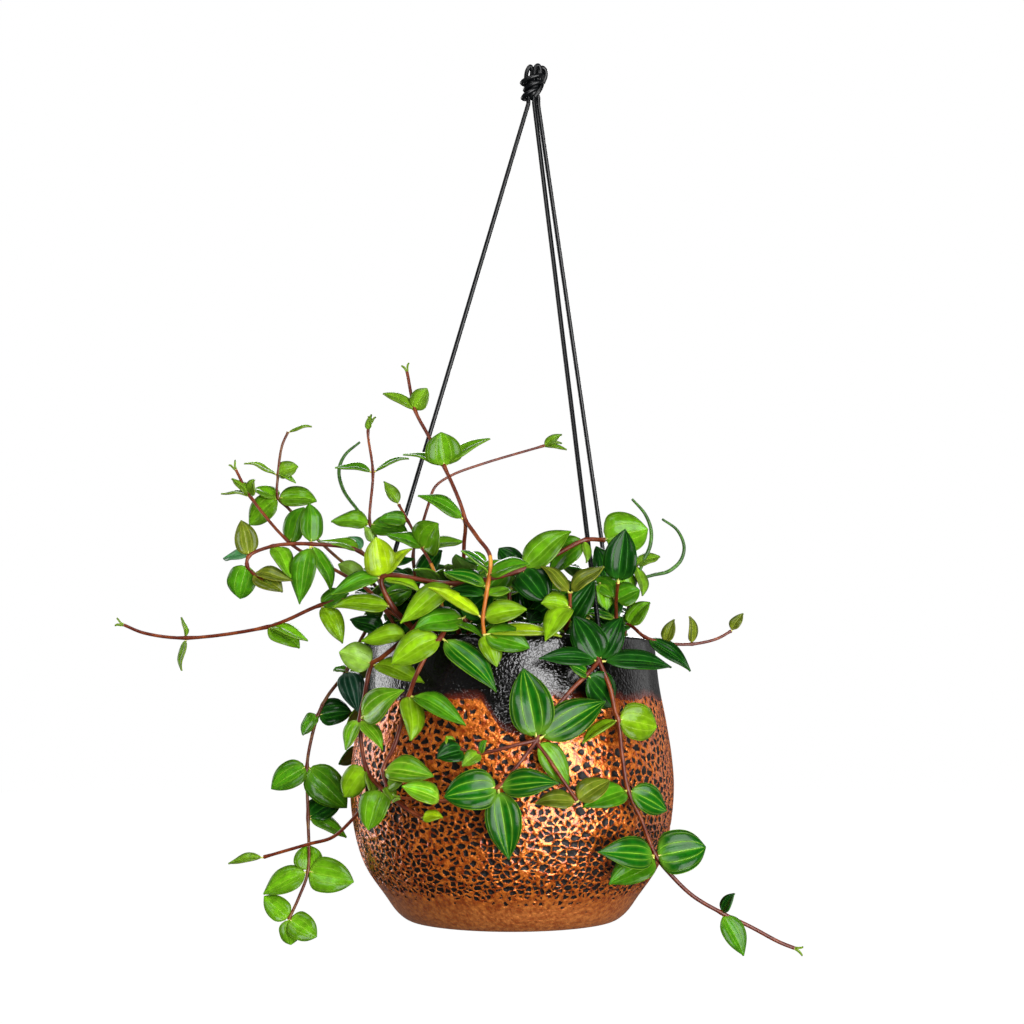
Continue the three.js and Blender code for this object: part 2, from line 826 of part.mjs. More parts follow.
function trailStem(azimuth, drops) {
  const swing = draw(-6, 6);
  const at = (distance, z, share) => {
    const heading = radians(azimuth + swing * share);
    return vector(distance * Math.cos(heading), distance * Math.sin(heading), z);
  };
  const { root, lip, shoulder, fall } = trails;
  const route = [at(...lip, 0), at(...shoulder, 0)];
  for (let drop = 0; drop < drops; drop += 1) {
    route.push(at(fall.radius + draw(-1, 3), fall.top - fall.step * drop, (drop + 1) / drops));
  }
  const { x, y } = at(root, 0, 0);
  const facing = vector(x / root, y / root, 0.5);
  const seats = route.slice(1).flatMap((point, node) => {
    const outward = azimuth + swing * (node / drops);
    return [70, -70].map((side) => {
      const elevation = node % 2 === 0 ? -38 : -8;
      return { base: point, azimuth: outward + side, elevation, scale: 1 - 0.06 * node, facing };
    });
  });
  return { root: [x, y], route, seats };
}

// All stems with their points in space.
const grown = stems.map((stem) => {
  const route = stem.route.map((point) => seen(...point));
  const leaves = (stem.leaves ?? []).map(([node, across, down, gained, width, turn]) => {
    const base = route[node];
    const tip = seen(across, down, stem.route[node][2] + gained);
    const direction = tip.clone().sub(base).normalize();
    return { base, tip, width, normal: faceNormal(direction, turn) };
  });
  leaves.forEach((leaf) => room.push(...ballsOf(leaf)));
  keepClear({ root: stem.root, route });
  return { ...stem, route, leaves };
});

// Stems placed by rule, which keep only the leaves that have room.
const plans = [];
for (let number = 0; number < crown.count; number += 1) {
  plans.push({ piece: `${crown.piece}${number + 1}`, side: crown.side, ...crownStem(number) });
}
trails.azimuths.forEach((azimuth, number) => {
  const planned = trailStem(azimuth, trails.drops[number]);
  plans.push({ piece: `${trails.piece}${number + 1}`, side: trails.side, ...planned });
});
plans.forEach(keepClear);
for (const plan of plans) grown.push({ ...plan, leaves: leavesOn(plan.seats) });

function stemSolid(stem) {
  const section = stem.spike ? roundSection(stem.side / 2, 5) : squareSection(stem.side);
  const points = wholeRoute(stem);
  const [before, last] = points.slice(-2);
  const bud = last.clone().sub(before).setLength(leafForm.bud);
  let solid = tube([...points, last.clone().add(bud)], section);
  for (const leaf of stem.leaves) solid = solid.add(leafSolid(leaf));
  return solid;
}

const foliage = new Map();
for (const stem of grown) {
  const solid = stemSolid(stem);
  const before = foliage.get(stem.piece);
  foliage.set(stem.piece, before ? before.add(solid) : solid);
}

// The hanging plant, each sub-part a mesh of its own.
const finishes = {
  pot: new THREE.MeshStandardMaterial({ color: "#b8622a", roughness: 0.35, metalness: 0.25 }),
  soil: new THREE.MeshStandardMaterial({ color: "#3a2a1e", roughness: 0.95, metalness: 0 }),
  cord: new THREE.MeshStandardMaterial({ color: "#151515", roughness: 0.45, metalness: 0 }),
  leaf: new THREE.MeshStandardMaterial({ color: "#3f8f22", roughness: 0.4, metalness: 0 }),
};
const plant = new THREE.Group();

function addPart(name, solid, finish) {
  const mesh = new THREE.Mesh(geometryOf(solid), finish);
  mesh.name = name;
  plant.add(mesh);
}

addPart("pot", potSolid(), finishes.pot);
addPart("soil", soilSolid(grown.filter((stem) => stem.root).map((stem) => stem.root)), finishes.soil);
for (const [name, route] of Object.entries(cordRoutes)) {
  addPart(name, cordSolid(route), finishes.cord);
  addPart(name.replace("cord", "stopper"), stopperSolid(route), finishes.cord);
}
addPart("top_knot", knotSolid(), finishes.cord);
for (const [name, solid] of foliage) addPart(name, solid, finishes.leaf);

plant.position.set(-hang.x, 0, -hang.z);
const hangingPot = new THREE.Group();
hangingPot.add(plant);

export default hangingPot;
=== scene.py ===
"""Hanging pot of trailing peperomia: a glazed pot, its soil, three cords, and the plant."""
import logging
import math
from collections.abc import Callable, Iterable, Sequence
from dataclasses import dataclass, field, replace
from enum import Enum
from functools import partial
from itertools import cycle
from typing import Any

import bpy
from mathutils import Matrix, Vector
from mathutils.geometry import intersect_point_line


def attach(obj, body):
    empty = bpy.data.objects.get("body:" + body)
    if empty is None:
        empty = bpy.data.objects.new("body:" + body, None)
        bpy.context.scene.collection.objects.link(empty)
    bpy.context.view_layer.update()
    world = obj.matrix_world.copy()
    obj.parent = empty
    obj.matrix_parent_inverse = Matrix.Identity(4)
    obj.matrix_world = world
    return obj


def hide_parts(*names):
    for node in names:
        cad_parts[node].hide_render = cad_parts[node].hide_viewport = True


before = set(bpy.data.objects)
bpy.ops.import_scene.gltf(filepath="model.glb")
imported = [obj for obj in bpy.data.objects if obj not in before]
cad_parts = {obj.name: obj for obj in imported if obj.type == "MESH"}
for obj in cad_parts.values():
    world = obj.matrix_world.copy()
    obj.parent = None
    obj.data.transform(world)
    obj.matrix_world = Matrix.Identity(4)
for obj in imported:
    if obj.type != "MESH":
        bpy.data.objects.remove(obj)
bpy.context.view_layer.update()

log = logging.getLogger("hanging_pot")

Row = tuple[float, ...]
Line = tuple[Sequence[Vector], Sequence[float]]
Adder = Callable[..., bpy.types.Node]
Piece = bpy.types.Object

HANG_X = 12.9
HANG_Z = 490.0
MILLIMETRE = 0.001
SOIL_TOP = 130.0
RIM_Z = 152.0
ROOT_REACH = 58.0
BROW_REACH = 66.0
BROW_UNDER = 176.0
CORD_DIAMETER = 2.6

ATTRIBUTE = "ShaderNodeAttribute"
BUMP = "ShaderNodeBump"
MATH = "ShaderNodeMath"
MIX = "ShaderNodeMix"
NOISE = "ShaderNodeTexNoise"
PARTS = "ShaderNodeSeparateXYZ"
RANGE = "ShaderNodeMapRange"
VECTOR = "ShaderNodeVectorMath"
SMOOTH = {"interpolation_type": "SMOOTHSTEP"}


class Bark(Enum):
    """Skin of a stem: its material, its two colours, and how fine its patches and its grain are."""

    RED = ("red_fleshy_stem", "#4E1A0A", "#7C3C18", 130.0, 0.0002)
    BROWN = ("brown_fleshy_stem", "#4E200C", "#704E1E", 130.0, 0.0002)
    ORANGE = ("orange_fleshy_stem", "#98520F", "#C88A2E", 130.0, 0.0002)
    SPIKE = ("green_flower_spike", "#284A12", "#467420", 200.0, 0.0004)
    PETIOLE = ("cream_petiole", "#B9B458", "#98A03C", 130.0, 0.0002)


class Tone(Enum):
    """Age of a leaf and the light and shade painted on it, which set its blade, its veins and how strongly
    they show.
    """

    DARK = ("#083206", "#3F8A22", 0.7)
    VEINED = ("#0E4A06", "#8ABC34", 0.9)
    # Dark glossy leaf whose grey-white veins are painted highlight streaks.
    STREAK_GLINT = ("#0B3320", "#8CAA98", 0.9)
    MID = ("#38700A", "#82B02A", 0.65)
    BRIGHT = ("#4E800C", "#90B834", 0.6)
    LIME = ("#638A0A", "#A2C038", 0.55)
    YELLOW = ("#86A60A", "#BCCE40", 0.45)
    STRIPED = ("#52880E", "#B0CE44", 0.9)
    PALE = ("#7AA236", "#A6C468", 0.35)
    # Dark glossy leaf with a painted grey sheen in its blade and its veins.
    GREY_SHEEN = ("#3A7440", "#8CB48E", 0.5)
    BRONZE = ("#4C5A12", "#A0A434", 0.85)
    OLIVE = ("#547A14", "#98B238", 0.5)


DARK, VEINED, STREAK_GLINT, MID, BRIGHT, LIME, YELLOW, STRIPED, PALE, GREY_SHEEN, BRONZE, OLIVE = Tone


def placed(point: Vector) -> Vector:
    """Turns a point in millimetres from the pot's foot into the shared frame, in metres.

    Args:
        point: Place measured from the middle of the pot's foot.

    Returns:
        The same place, measured from the point that the pot hangs by.
    """
    return Vector((point.x - HANG_X, point.y, point.z - HANG_Z)) * MILLIMETRE


def around(degrees: float) -> Vector:
    """Gives the level direction at an angle, in degrees from the right."""
    return Vector((math.cos(math.radians(degrees)), math.sin(math.radians(degrees)), 0))


def squared(direction: Vector, wanted: Vector) -> Vector:
    """Turns a wanted direction square to another one."""
    return (wanted - direction * wanted.dot(direction)).normalized()


def linear(code: str) -> Row:
    """Turns an sRGB hex value into linear red, green and blue, with an alpha of one."""
    parts = [int(code[at : at + 2], 16) / 255 for at in (1, 3, 5)]
    return (*(p / 12.92 if p <= 0.04045 else ((p + 0.055) / 1.055) ** 2.4 for p in parts), 1.0)


def smooth_points(points: Sequence[Vector], steps: int) -> list[Vector]:
    """Rounds a polyline into a centripetal Catmull-Rom curve that meets each of its points.

    Args:
        points: Places along the route.
        steps: Stretches between one place and the next.

    Returns:
        The points of the rounded route.
    """
    padded = [points[0] * 2 - points[1], *points, points[-1] * 2 - points[-2]]
    rounded = []
    for before, start, end, after in zip(padded, padded[1:], padded[2:], padded[3:]):
        gaps = [max((b - a).length ** 0.5, 1e-6) for a, b in ((before, start), (start, end), (end, after))]
        slope_in = (start - before) / gaps[0] - (end - before) / (gaps[0] + gaps[1]) + (end - start) / gaps[1]
        slope_out = (end - start) / gaps[1] - (after - start) / (gaps[1] + gaps[2]) + (after - end) / gaps[2]
        slope_in, slope_out = slope_in * gaps[1], slope_out * gaps[1]
        for step in range(steps):
            t = step / steps
            rounded.append(
                start * (2 * t**3 - 3 * t**2 + 1)
                + slope_in * (t**3 - 2 * t**2 + t)
                + end * (3 * t**2 - 2 * t**3)
                + slope_out * (t**3 - t**2)
            )
    return [*rounded, points[-1].copy()]


def deselect() -> None:
    if bpy.context.object and bpy.context.object.mode != "OBJECT":
        bpy.ops.object.mode_set(mode="OBJECT")
    bpy.ops.object.select_all(action="DESELECT")


def make_active(piece: Piece) -> None:
    """Selects one object alone, for the operators that follow."""
    deselect()
    piece.select_set(True)
    bpy.context.view_layer.objects.active = piece


def edit_all() -> None:
    """Opens the active object in edit mode, with all of it selected."""
    bpy.ops.object.mode_set(mode="EDIT")
    bpy.ops.mesh.select_all(action="SELECT")


def bake_place() -> Piece:
    """Puts the active object at the origin, with its place in its mesh, and returns it."""
    bpy.ops.object.transform_apply(location=True, rotation=True, scale=True)
    return bpy.context.object


def join(pieces: Sequence[Piece], name: str) -> Piece:
    """Joins objects into one, with its mesh at the origin.

    Args:
        pieces: Meshes to join, the first of which stays.
        name: Name of the joined piece.

    Returns:
        The joined object.
    """
    make_active(pieces[0])
    for piece in pieces:
        piece.select_set(True)
    if len(pieces) > 1:
        bpy.ops.object.join()
    joined = bake_place()
    joined.name = joined.data.name = name
    return joined


def own_copy(piece: Piece) -> Piece:
    """Copies an object with its own mesh."""
    copy = piece.copy()
    copy.data = piece.data.copy()
    bpy.context.collection.objects.link(copy)
    return copy


def apply_modifier(piece: Piece, kind: str, **settings: Any) -> None:
    """Adds a modifier to a piece and applies it.

    Args:
        piece: Object to change.
        kind: Type of modifier.
        settings: Properties of the modifier.
    """
    make_active(piece)
    modifier = piece.modifiers.new(kind.title(), kind)
    for key, value in settings.items():
        setattr(modifier, key, value)
    bpy.ops.object.modifier_apply(modifier=modifier.name)


def hand_over(piece: bpy.types.Object, node: str) -> None:
    """Says which CAD node a finished piece stands for, hides that node and hangs the piece from the root.

    Args:
        piece: Finished piece.
        node: Name of the CAD node.
    """
    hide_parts(node)
    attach(piece, "root")
    log.info("%s stands for %s", piece.name, node)


def laid_tubes(name: str, lines: Iterable[Line], thickness: float, fineness: int) -> Piece:
    """Lays round tubes along lines, as one curve.

    Args:
        name: Name of the curve.
        lines: Points of each tube and its share of the thickness at each point.
        thickness: Full radius, in millimetres.
        fineness: Steps of roundness of the section.

    Returns:
        The curve object.
    """
    curve = bpy.data.curves.new(name, "CURVE")
    curve.dimensions = "3D"
    curve.bevel_depth = thickness * MILLIMETRE
    curve.bevel_resolution = fineness
    curve.use_fill_caps = True
    for points, shares in lines:
        spline = curve.splines.new("POLY")
        spline.points.add(len(points) - 1)
        for knot, point, share in zip(spline.points, points, shares):
            knot.co = (*placed(point), 1.0)
            knot.radius = share
    tubes = bpy.data.objects.new(name, curve)
    bpy.context.collection.objects.link(tubes)
    return tubes


def round_tubes(name: str, lines: Iterable[Line], fineness: int) -> Piece:
    """Sweeps round tubes along lines and turns them into one smooth mesh.

    Args:
        name: Name of the mesh.
        lines: Points of each tube and its radius at each point, in millimetres.
        fineness: Steps of roundness of the section.

    Returns:
        The mesh object.
    """
    make_active(laid_tubes(name, lines, 1.0, fineness))
    bpy.ops.object.convert(target="MESH")
    bpy.ops.object.shade_smooth()
    return bpy.context.object


def add_node(
    tree: bpy.types.NodeTree, kind: str, inputs: dict[Any, Any] | Sequence[Any] = (), **settings: Any
) -> bpy.types.Node:
    """Adds a node with its settings and links.

    Args:
        tree: Node tree of the material.
        kind: Type of node, or the name of one that is there.
        inputs: Value, linked socket or linked node for each input, in order or by name or number.
        settings: Properties of the node.

    Returns:
        The node, which stands for its first output that is in use.
    """
    node = tree.nodes.get(kind) or tree.nodes.new(kind)
    for key, value in settings.items():
        setattr(node, key, value)
    for key, value in inputs.items() if isinstance(inputs, dict) else enumerate(inputs):
        if isinstance(value, bpy.types.Node):
            value = next(output for output in value.outputs if output.enabled)
        if isinstance(value, bpy.types.NodeSocket):
            tree.links.new(value, node.inputs[key])
        else:
            node.inputs[key].default_value = value
    return node


@dataclass(frozen=True)
class Finish:
    """A finish of the real object, and the material that shows it."""

    name: str

    def looks(self, add: Adder) -> dict[str, Any]:
        """Draws the finish, which each kind does its own way.

        Args:
            add: Adds a node to the material.

        Returns:
            What each input of the shader gets.
        """
        raise NotImplementedError

    def material(self) -> bpy.types.Material:
        """Builds the material the first time, and finds it again after that.

        Returns:
            The finished material.
        """
        if self.name in bpy.data.materials:
            return bpy.data.materials[self.name]
        material = bpy.data.materials.new(self.name)
        material.use_nodes = True
        add = partial(add_node, material.node_tree)
        add("Principled BSDF", self.looks(add))
        return material

    def dress(self, piece: Piece) -> None:
        """Gives the finish to a piece, after those that it has."""
        piece.data.materials.append(self.material())


@dataclass(frozen=True)
class CopperGlaze(Finish):
    """Reduction-fired copper glaze on stoneware, pitted down to dark clay, under a black shoulder."""

    name: str = "copper_glazed_stoneware"
    net: str = "#983A08"
    net_light: str = "#E27C26"
    pit: str = "#0B0604"
    foot: str = "#9C4C18"
    foot_light: str = "#CC7A38"
    band: str = "#050404"
    seam: str = "#4A170A"
    band_from: float = 0.1185
    foot_to: float = 0.0135
    pit_size: float = 0.0050
    pit_depth: float = 0.0006
    warp: float = 0.0026
    waver: float = 0.008
    painted_shadow_drop: float = 0.017
    place_name: str = "unglazed_place"

    def pits(self, add: Adder, place: Any) -> tuple[Any, Any, Any, Any]:
        """Draws the pattern of the pits, for the colour as well as for the shape.

        Args:
            add: Adds a node to the material or to the tool that sinks the pits.
            place: Place from the pot's foot, in metres.

        Returns:
            The pits' share, the glazed share, the fine mottle and the height with its waver and its painted
            shadow.
        """
        drift = add(NOISE, {"Vector": place, "Scale": 60.0, "Detail": 2.0})
        fine = add(NOISE, {"Vector": place, "Scale": 380.0, "Detail": 2.0})
        x, y, z = add(PARTS, [place]).outputs
        # The crackle is finer towards the foot.
        finer = add(RANGE, [z, 0.015, 0.125, 1.32, 0.9])
        lifted = add(VECTOR, [place, (1.0, 1.0, 1.2), (0.0, 0.0, -0.082)], operation="MULTIPLY_ADD")
        scaled = add(VECTOR, {0: lifted, "Scale": finer}, operation="SCALE")
        warp = (self.warp, self.warp, self.warp)
        warped = add(VECTOR, [fine.outputs["Color"], warp, scaled], operation="MULTIPLY_ADD")
        # Pits: the middles of a crackle's cells, whose edges stay as the raised net.
        crackle = {"Vector": warped, "Scale": 1 / self.pit_size}
        cells = add("ShaderNodeTexVoronoi", crackle, feature="DISTANCE_TO_EDGE")
        spread = add(RANGE, [drift, 0.3, 0.7, 0.11, 0.19])
        wavering = add(MATH, [drift, self.waver, z], operation="MULTIPLY_ADD")
        glazed = add(RANGE, [wavering, self.foot_to - 0.001, self.foot_to + 0.013], **SMOOTH)
        closing = add(MATH, [glazed, -0.35, 0.35], operation="MULTIPLY_ADD")
        # The net is thin low on the wall and broad under the shoulder.
        broader = add(RANGE, [z, 0.04, 0.115, -0.04, 0.03])
        net = add(MATH, [spread, broader], operation="ADD")
        walls = add(MATH, [net, closing], operation="ADD")
        depth = add(MATH, [cells, walls], operation="SUBTRACT")
        share = add(RANGE, [depth, -0.012, 0.026], **SMOOTH)
        # Height of the glaze line, with its waver, pulled down at the front by a painted leaf shadow in the
        # black shoulder colour.
        across = add(MATH, [x, 0.002], operation="SUBTRACT")
        away = add(MATH, [across], operation="ABSOLUTE")
        # Painted shadow: the black shoulder colour reaches down at the front, where a leaf's shadow falls.
        painted_shadow_drop = add(RANGE, [away, 0.004, 0.019, self.painted_shadow_drop, 0.0], **SMOOTH)
        front = add(MATH, [y, 0.0], operation="LESS_THAN")
        line = add(MATH, [painted_shadow_drop, front, wavering], operation="MULTIPLY_ADD")
        ragged = add(MATH, [fine, 0.004, line], operation="MULTIPLY_ADD")
        covered = add(RANGE, [ragged, self.band_from + 0.0056, self.band_from + 0.0066], **SMOOTH)
        open_share = add(MATH, [share, covered], operation="SUBTRACT", use_clamp=True)
        return open_share, glazed, fine, ragged

    def sink(self) -> bpy.types.NodeTree:
        """Builds the tool that sinks the pits into the wall.

        Returns:
            The node group, for a modifier.
        """
        tree = bpy.data.node_groups.new("sunk_pits", "GeometryNodeTree")
        for way in ("INPUT", "OUTPUT"):
            tree.interface.new_socket("Wall", in_out=way, socket_type="NodeSocketGeometry")
        add = partial(add_node, tree)
        wall = add("NodeGroupInput")
        place = add("GeometryNodeInputPosition")
        centred = add(VECTOR, [place, placed(Vector((0, 0, 0)))], operation="SUBTRACT")
        stored = add(
            "GeometryNodeStoreNamedAttribute",
            {"Geometry": wall, "Name": self.place_name, "Value": centred},
            data_type="FLOAT_VECTOR",
            domain="POINT",
        )
        share = self.pits(add, centred)[0]
        parts = add(PARTS, [centred])
        level = add(VECTOR, [centred, (1.0, 1.0, 0.0)], operation="MULTIPLY")
        reach = add(VECTOR, [level], operation="LENGTH")
        # The inner wall stays smooth: it stands more than 4 mm inside the outer one at each height.
        inner = add(RANGE, [parts.outputs["Z"], 0.012, 0.046, 0.061, 0.0825])
        outside = add(MATH, [reach, inner], operation="GREATER_THAN")
        sunk = add(MATH, [share, outside], operation="MULTIPLY")
        depth = add(MATH, [sunk, -self.pit_depth], operation="MULTIPLY")
        offset = add(VECTOR, {0: add("GeometryNodeInputNormal"), "Scale": depth}, operation="SCALE")
        moved = add("GeometryNodeSetPosition", {"Geometry": stored, "Offset": offset})
        add("NodeGroupOutput", [moved])
        return tree

    def looks(self, add: Adder) -> dict[str, Any]:
        """Draws the glaze, at the place that each point had before the pits were sunk.

        Args:
            add: Adds a node to the material.

        Returns:
            What each input of the shader gets.
        """
        place = add(ATTRIBUTE, attribute_name=self.place_name).outputs["Vector"]
        pitted, glazed, fine, line = self.pits(add, place)
        # The black shoulder colour follows this line, painted leaf shadow included.
        band_line = self.band_from + 0.006
        band = add(RANGE, [line, band_line - 0.0004, band_line + 0.0006], **SMOOTH)
        seam = add(RANGE, [line, band_line + 0.0005, band_line + 0.005, 0.9, 0.0], **SMOOTH)
        warmth = add(RANGE, [fine, 0.34, 0.7])
        net = add(MIX, {0: warmth, 6: linear(self.net), 7: linear(self.net_light)}, data_type="RGBA")
        clay = add(MIX, {0: warmth, 6: linear(self.foot), 7: linear(self.foot_light)}, data_type="RGBA")
        body = add(MIX, {0: glazed, 6: clay, 7: net}, data_type="RGBA")
        open_wall = add(MIX, {0: pitted, 6: body, 7: linear(self.pit)}, data_type="RGBA")
        shoulder = add(MIX, {0: seam, 6: linear(self.band), 7: linear(self.seam)}, data_type="RGBA")
        colour = add(MIX, {0: band, 6: open_wall, 7: shoulder}, data_type="RGBA")
        # Gloss: wet-looking and uneven on the black shoulder, broken on the copper, nearly dull on the foot.
        worn = add(RANGE, [fine, 0.3, 0.75, 0.2, 0.34])
        dull = add(RANGE, [glazed, 0.0, 1.0, 0.45, worn])
        brushed = add(RANGE, [fine, 0.35, 0.65, 0.05, 0.24])
        gloss = add(RANGE, [band, 0.0, 1.0, dull, brushed])
        rough = add(RANGE, [pitted, 0.0, 1.0, gloss, 0.55])
        lustre = add(RANGE, [band, 0.0, 1.0, 0.6, 0.0])
        # Relief: sharp lips round the pits, and orange peel all over, drawn as coarse as it needs to show.
        peel = add(NOISE, {"Vector": place, "Scale": 700.0, "Detail": 1.0})
        peel_bump = add(BUMP, {"Height": peel, "Strength": 0.9, "Distance": 0.0006})
        rim = {"Height": pitted, "Strength": 1.0, "Distance": 0.0005, "Normal": peel_bump}
        lips = add(BUMP, rim, invert=True)
        coat = add(RANGE, [pitted, 0.0, 1.0, 0.5, 0.05])
        glassy = add(MATH, [band, -0.1, coat], operation="MULTIPLY_ADD")
        return {
            "Base Color": colour, "Roughness": rough, "Metallic": lustre, "Normal": lips,
            "Coat Weight": glassy, "Coat Roughness": 0.12, "Specular IOR Level": 0.5,
        }


@dataclass(frozen=True)
class LeafSkin(Finish):
    """Thick waxy peperomia leaf with pale parallel veins that meet at both ends of the blade."""

    name: str = "waxy_leaf_upper"
    vein_gap: float = 0.42
    under: bool = False
    under_colour: str = "#8CB04E"

    def looks(self, add: Adder) -> dict[str, Any]:
        """Draws the skin from the leaf's own tones and its own map across and along the blade.

        Args:
            add: Adds a node to the material.

        Returns:
            What each input of the shader gets.
        """
        blade = add(ATTRIBUTE, attribute_name="blade_tone")
        vein_tone = add(ATTRIBUTE, attribute_name="vein_tone")
        strength = add(ATTRIBUTE, attribute_name="vein_strength")
        leaf_map = add("ShaderNodeUVMap", uv_map="blade")
        across, along, _ = add(PARTS, [leaf_map]).outputs
        place = add("ShaderNodeTexCoord").outputs["Object"]
        mottle = add(NOISE, {"Vector": place, "Scale": 260.0, "Detail": 3.0})
        streak_place = add("ShaderNodeMapping", {"Vector": leaf_map, "Scale": (40.0, 4.0, 1.0)})
        streaks = add(NOISE, {"Vector": streak_place, "Scale": 1.0, "Detail": 2.0})
        side = add(MATH, [across, 2.0, -1.0], operation="MULTIPLY_ADD")
        fold = add(MATH, [side, self.vein_gap / 2], operation="PINGPONG")
        line = add(RANGE, [fold, 0.008, 0.042, 0.9, 0.0], **SMOOTH)
        # Each vein has a pale halo in the blade, wider towards the leaf's base.
        width = add(RANGE, [along, 0.0, 1.0, 0.2, 0.11])
        halo = add(RANGE, [fold, 0.0, width, 0.26, 0.0], **SMOOTH)
        both = add(MATH, [line, halo], operation="MAXIMUM")
        # The middle vein is the strongest, and all of them break up a little.
        away = add(MATH, [side], operation="ABSOLUTE")
        faint = add(RANGE, [away, 0.1, 0.9, 1.0, 0.25])
        broken = add(RANGE, [streaks, 0.25, 0.65, 0.3, 1.0])
        reach = add(MATH, [faint, broken], operation="MULTIPLY")
        veins = add(MATH, [both, reach], operation="MULTIPLY")
        edge = add(RANGE, [away, 0.95, 0.99, 0.0, 0.5])
        base = add(RANGE, [along, 0.0, 0.2, 0.4, 0.0])
        ends = add(MATH, [edge, base], operation="MAXIMUM")
        drawn = add(MATH, [veins, ends], operation="MAXIMUM")
        share = add(MATH, [drawn, strength.outputs["Fac"]], operation="MULTIPLY")
        shade = add(RANGE, [mottle, 0.3, 0.7, 0.7, 1.25])
        # Painted shade: the blade is darkest along its margins.
        rim = add(RANGE, [away, 0.2, 1.0, 1.15, 0.5])
        depth = add(MATH, [shade, rim], operation="MULTIPLY")
        varied = add(VECTOR, {0: blade, "Scale": depth}, operation="SCALE")
        colour = add(MIX, {0: share, 6: varied, 7: vein_tone}, data_type="RGBA")
        if self.under:
            # The underside is duller and paler, with only a trace of the veins.
            colour = add(MIX, {0: 0.3, 6: colour, 7: linear(self.under_colour)}, data_type="RGBA")
        sunk = add(BUMP, {"Height": both, "Strength": 0.6, "Distance": 0.0004}, invert=not self.under)
        pores = add(BUMP, {"Height": mottle, "Strength": 0.35, "Distance": 0.0004, "Normal": sunk})
        rough = 0.42 if self.under else 0.17
        return {"Base Color": colour, "Normal": pores, "Roughness": rough, "Specular IOR Level": 0.17}


@dataclass(frozen=True)
class StemSkin(Finish):
    """Fleshy stem, petiole or flower spike, green under a coloured skin."""

    skin: str
    flesh: str
    scale: float
    grain: float

    def looks(self, add: Adder) -> dict[str, Any]:
        """Draws the skin, with the flesh of the stem showing through in places.

        Args:
            add: Adds a node to the material.

        Returns:
            What each input of the shader gets.
        """
        place = add("ShaderNodeTexCoord").outputs["Object"]
        patches = add(NOISE, {"Vector": place, "Scale": self.scale, "Detail": 3.0})
        share = add(RANGE, [patches, 0.45, 0.75])
        colour = add(MIX, {0: share, 6: linear(self.skin), 7: linear(self.flesh)}, data_type="RGBA")
        beads = add("ShaderNodeTexVoronoi", {"Vector": place, "Scale": 1600.0})
        bump = add(BUMP, {"Height": beads, "Strength": 0.4, "Distance": self.grain})
        return {"Base Color": colour, "Normal": bump, "Roughness": 0.34, "Specular IOR Level": 0.3}


@dataclass(frozen=True)
class WaxedCord(Finish):
    """Black waxed cotton cord, laid tight, so its strands show as a fine slanted ripple."""

    name: str = "black_waxed_cord"
    colour: str = "#040507"
    lay: float = 0.0019

    def looks(self, add: Adder) -> dict[str, Any]:
        """Draws the cord's strands and its worn wax.

        Args:
            add: Adds a node to the material.

        Returns:
            What each input of the shader gets.
        """
        place = add("ShaderNodeTexCoord").outputs["Object"]
        slanted = add("ShaderNodeMapping", {"Vector": place, "Rotation": (0.5, 0.35, 0.0)})
        twist = {"Vector": slanted, "Scale": 0.314 / self.lay, "Distortion": 0.4, "Detail": 0.0}
        strands = add("ShaderNodeTexWave", twist, bands_direction="Z").outputs["Fac"]
        bump = add(BUMP, {"Height": strands, "Strength": 0.12, "Distance": 0.0001})
        worn = add(NOISE, {"Vector": place, "Scale": 300.0, "Detail": 2.0})
        gloss = add(RANGE, [worn, 0.3, 0.7, 0.2, 0.36])
        black = linear(self.colour)
        return {"Base Color": black, "Normal": bump, "Roughness": gloss, "Specular IOR Level": 0.3}


@dataclass(frozen=True)
class PottingMix(Finish):
    """Moist potting mix of peat and bark, dark, with pale fibres and grit."""

    name: str = "moist_potting_mix"
    dark: str = "#150D08"
    light: str = "#4A3220"

    def looks(self, add: Adder) -> dict[str, Any]:
        """Draws the clods of the soil.

        Args:
            add: Adds a node to the material.

        Returns:
            What each input of the shader gets.
        """
        place = add("ShaderNodeTexCoord").outputs["Object"]
        clods = add(NOISE, {"Vector": place, "Scale": 330.0, "Detail": 6.0})
        share = add(RANGE, [clods, 0.42, 0.7])
        colour = add(MIX, {0: share, 6: linear(self.dark), 7: linear(self.light)}, data_type="RGBA")
        bump = add(BUMP, {"Height": clods, "Strength": 0.9, "Distance": 0.002})
        return {"Base Color": colour, "Normal": bump, "Roughness": 0.9}


@dataclass(frozen=True)
class BacklitAcrylic(Finish):
    """Opal acrylic of a light table, so the studio floor stays pale and even."""

    name: str = "backlit_opal_acrylic"
    colour: str = "#F2F2F0"
    glow: float = 0.93

    def looks(self, add: Adder) -> dict[str, Any]:
        """Draws the even glow of the sheet and its faint grain.

        Args:
            add: Adds a node to the material.

        Returns:
            What each input of the shader gets.
        """
        place = add("ShaderNodeTexCoord").outputs["Object"]
        grain = add(NOISE, {"Vector": place, "Scale": 40.0, "Detail": 4.0})
        bump = add(BUMP, {"Height": grain, "Strength": 0.1, "Distance": 0.001})
        return {
            "Base Color": linear(self.colour), "Normal": bump, "Roughness": 0.8,
            "Emission Color": (1.0, 1.0, 1.0, 1.0), "Emission Strength": self.glow,
        }


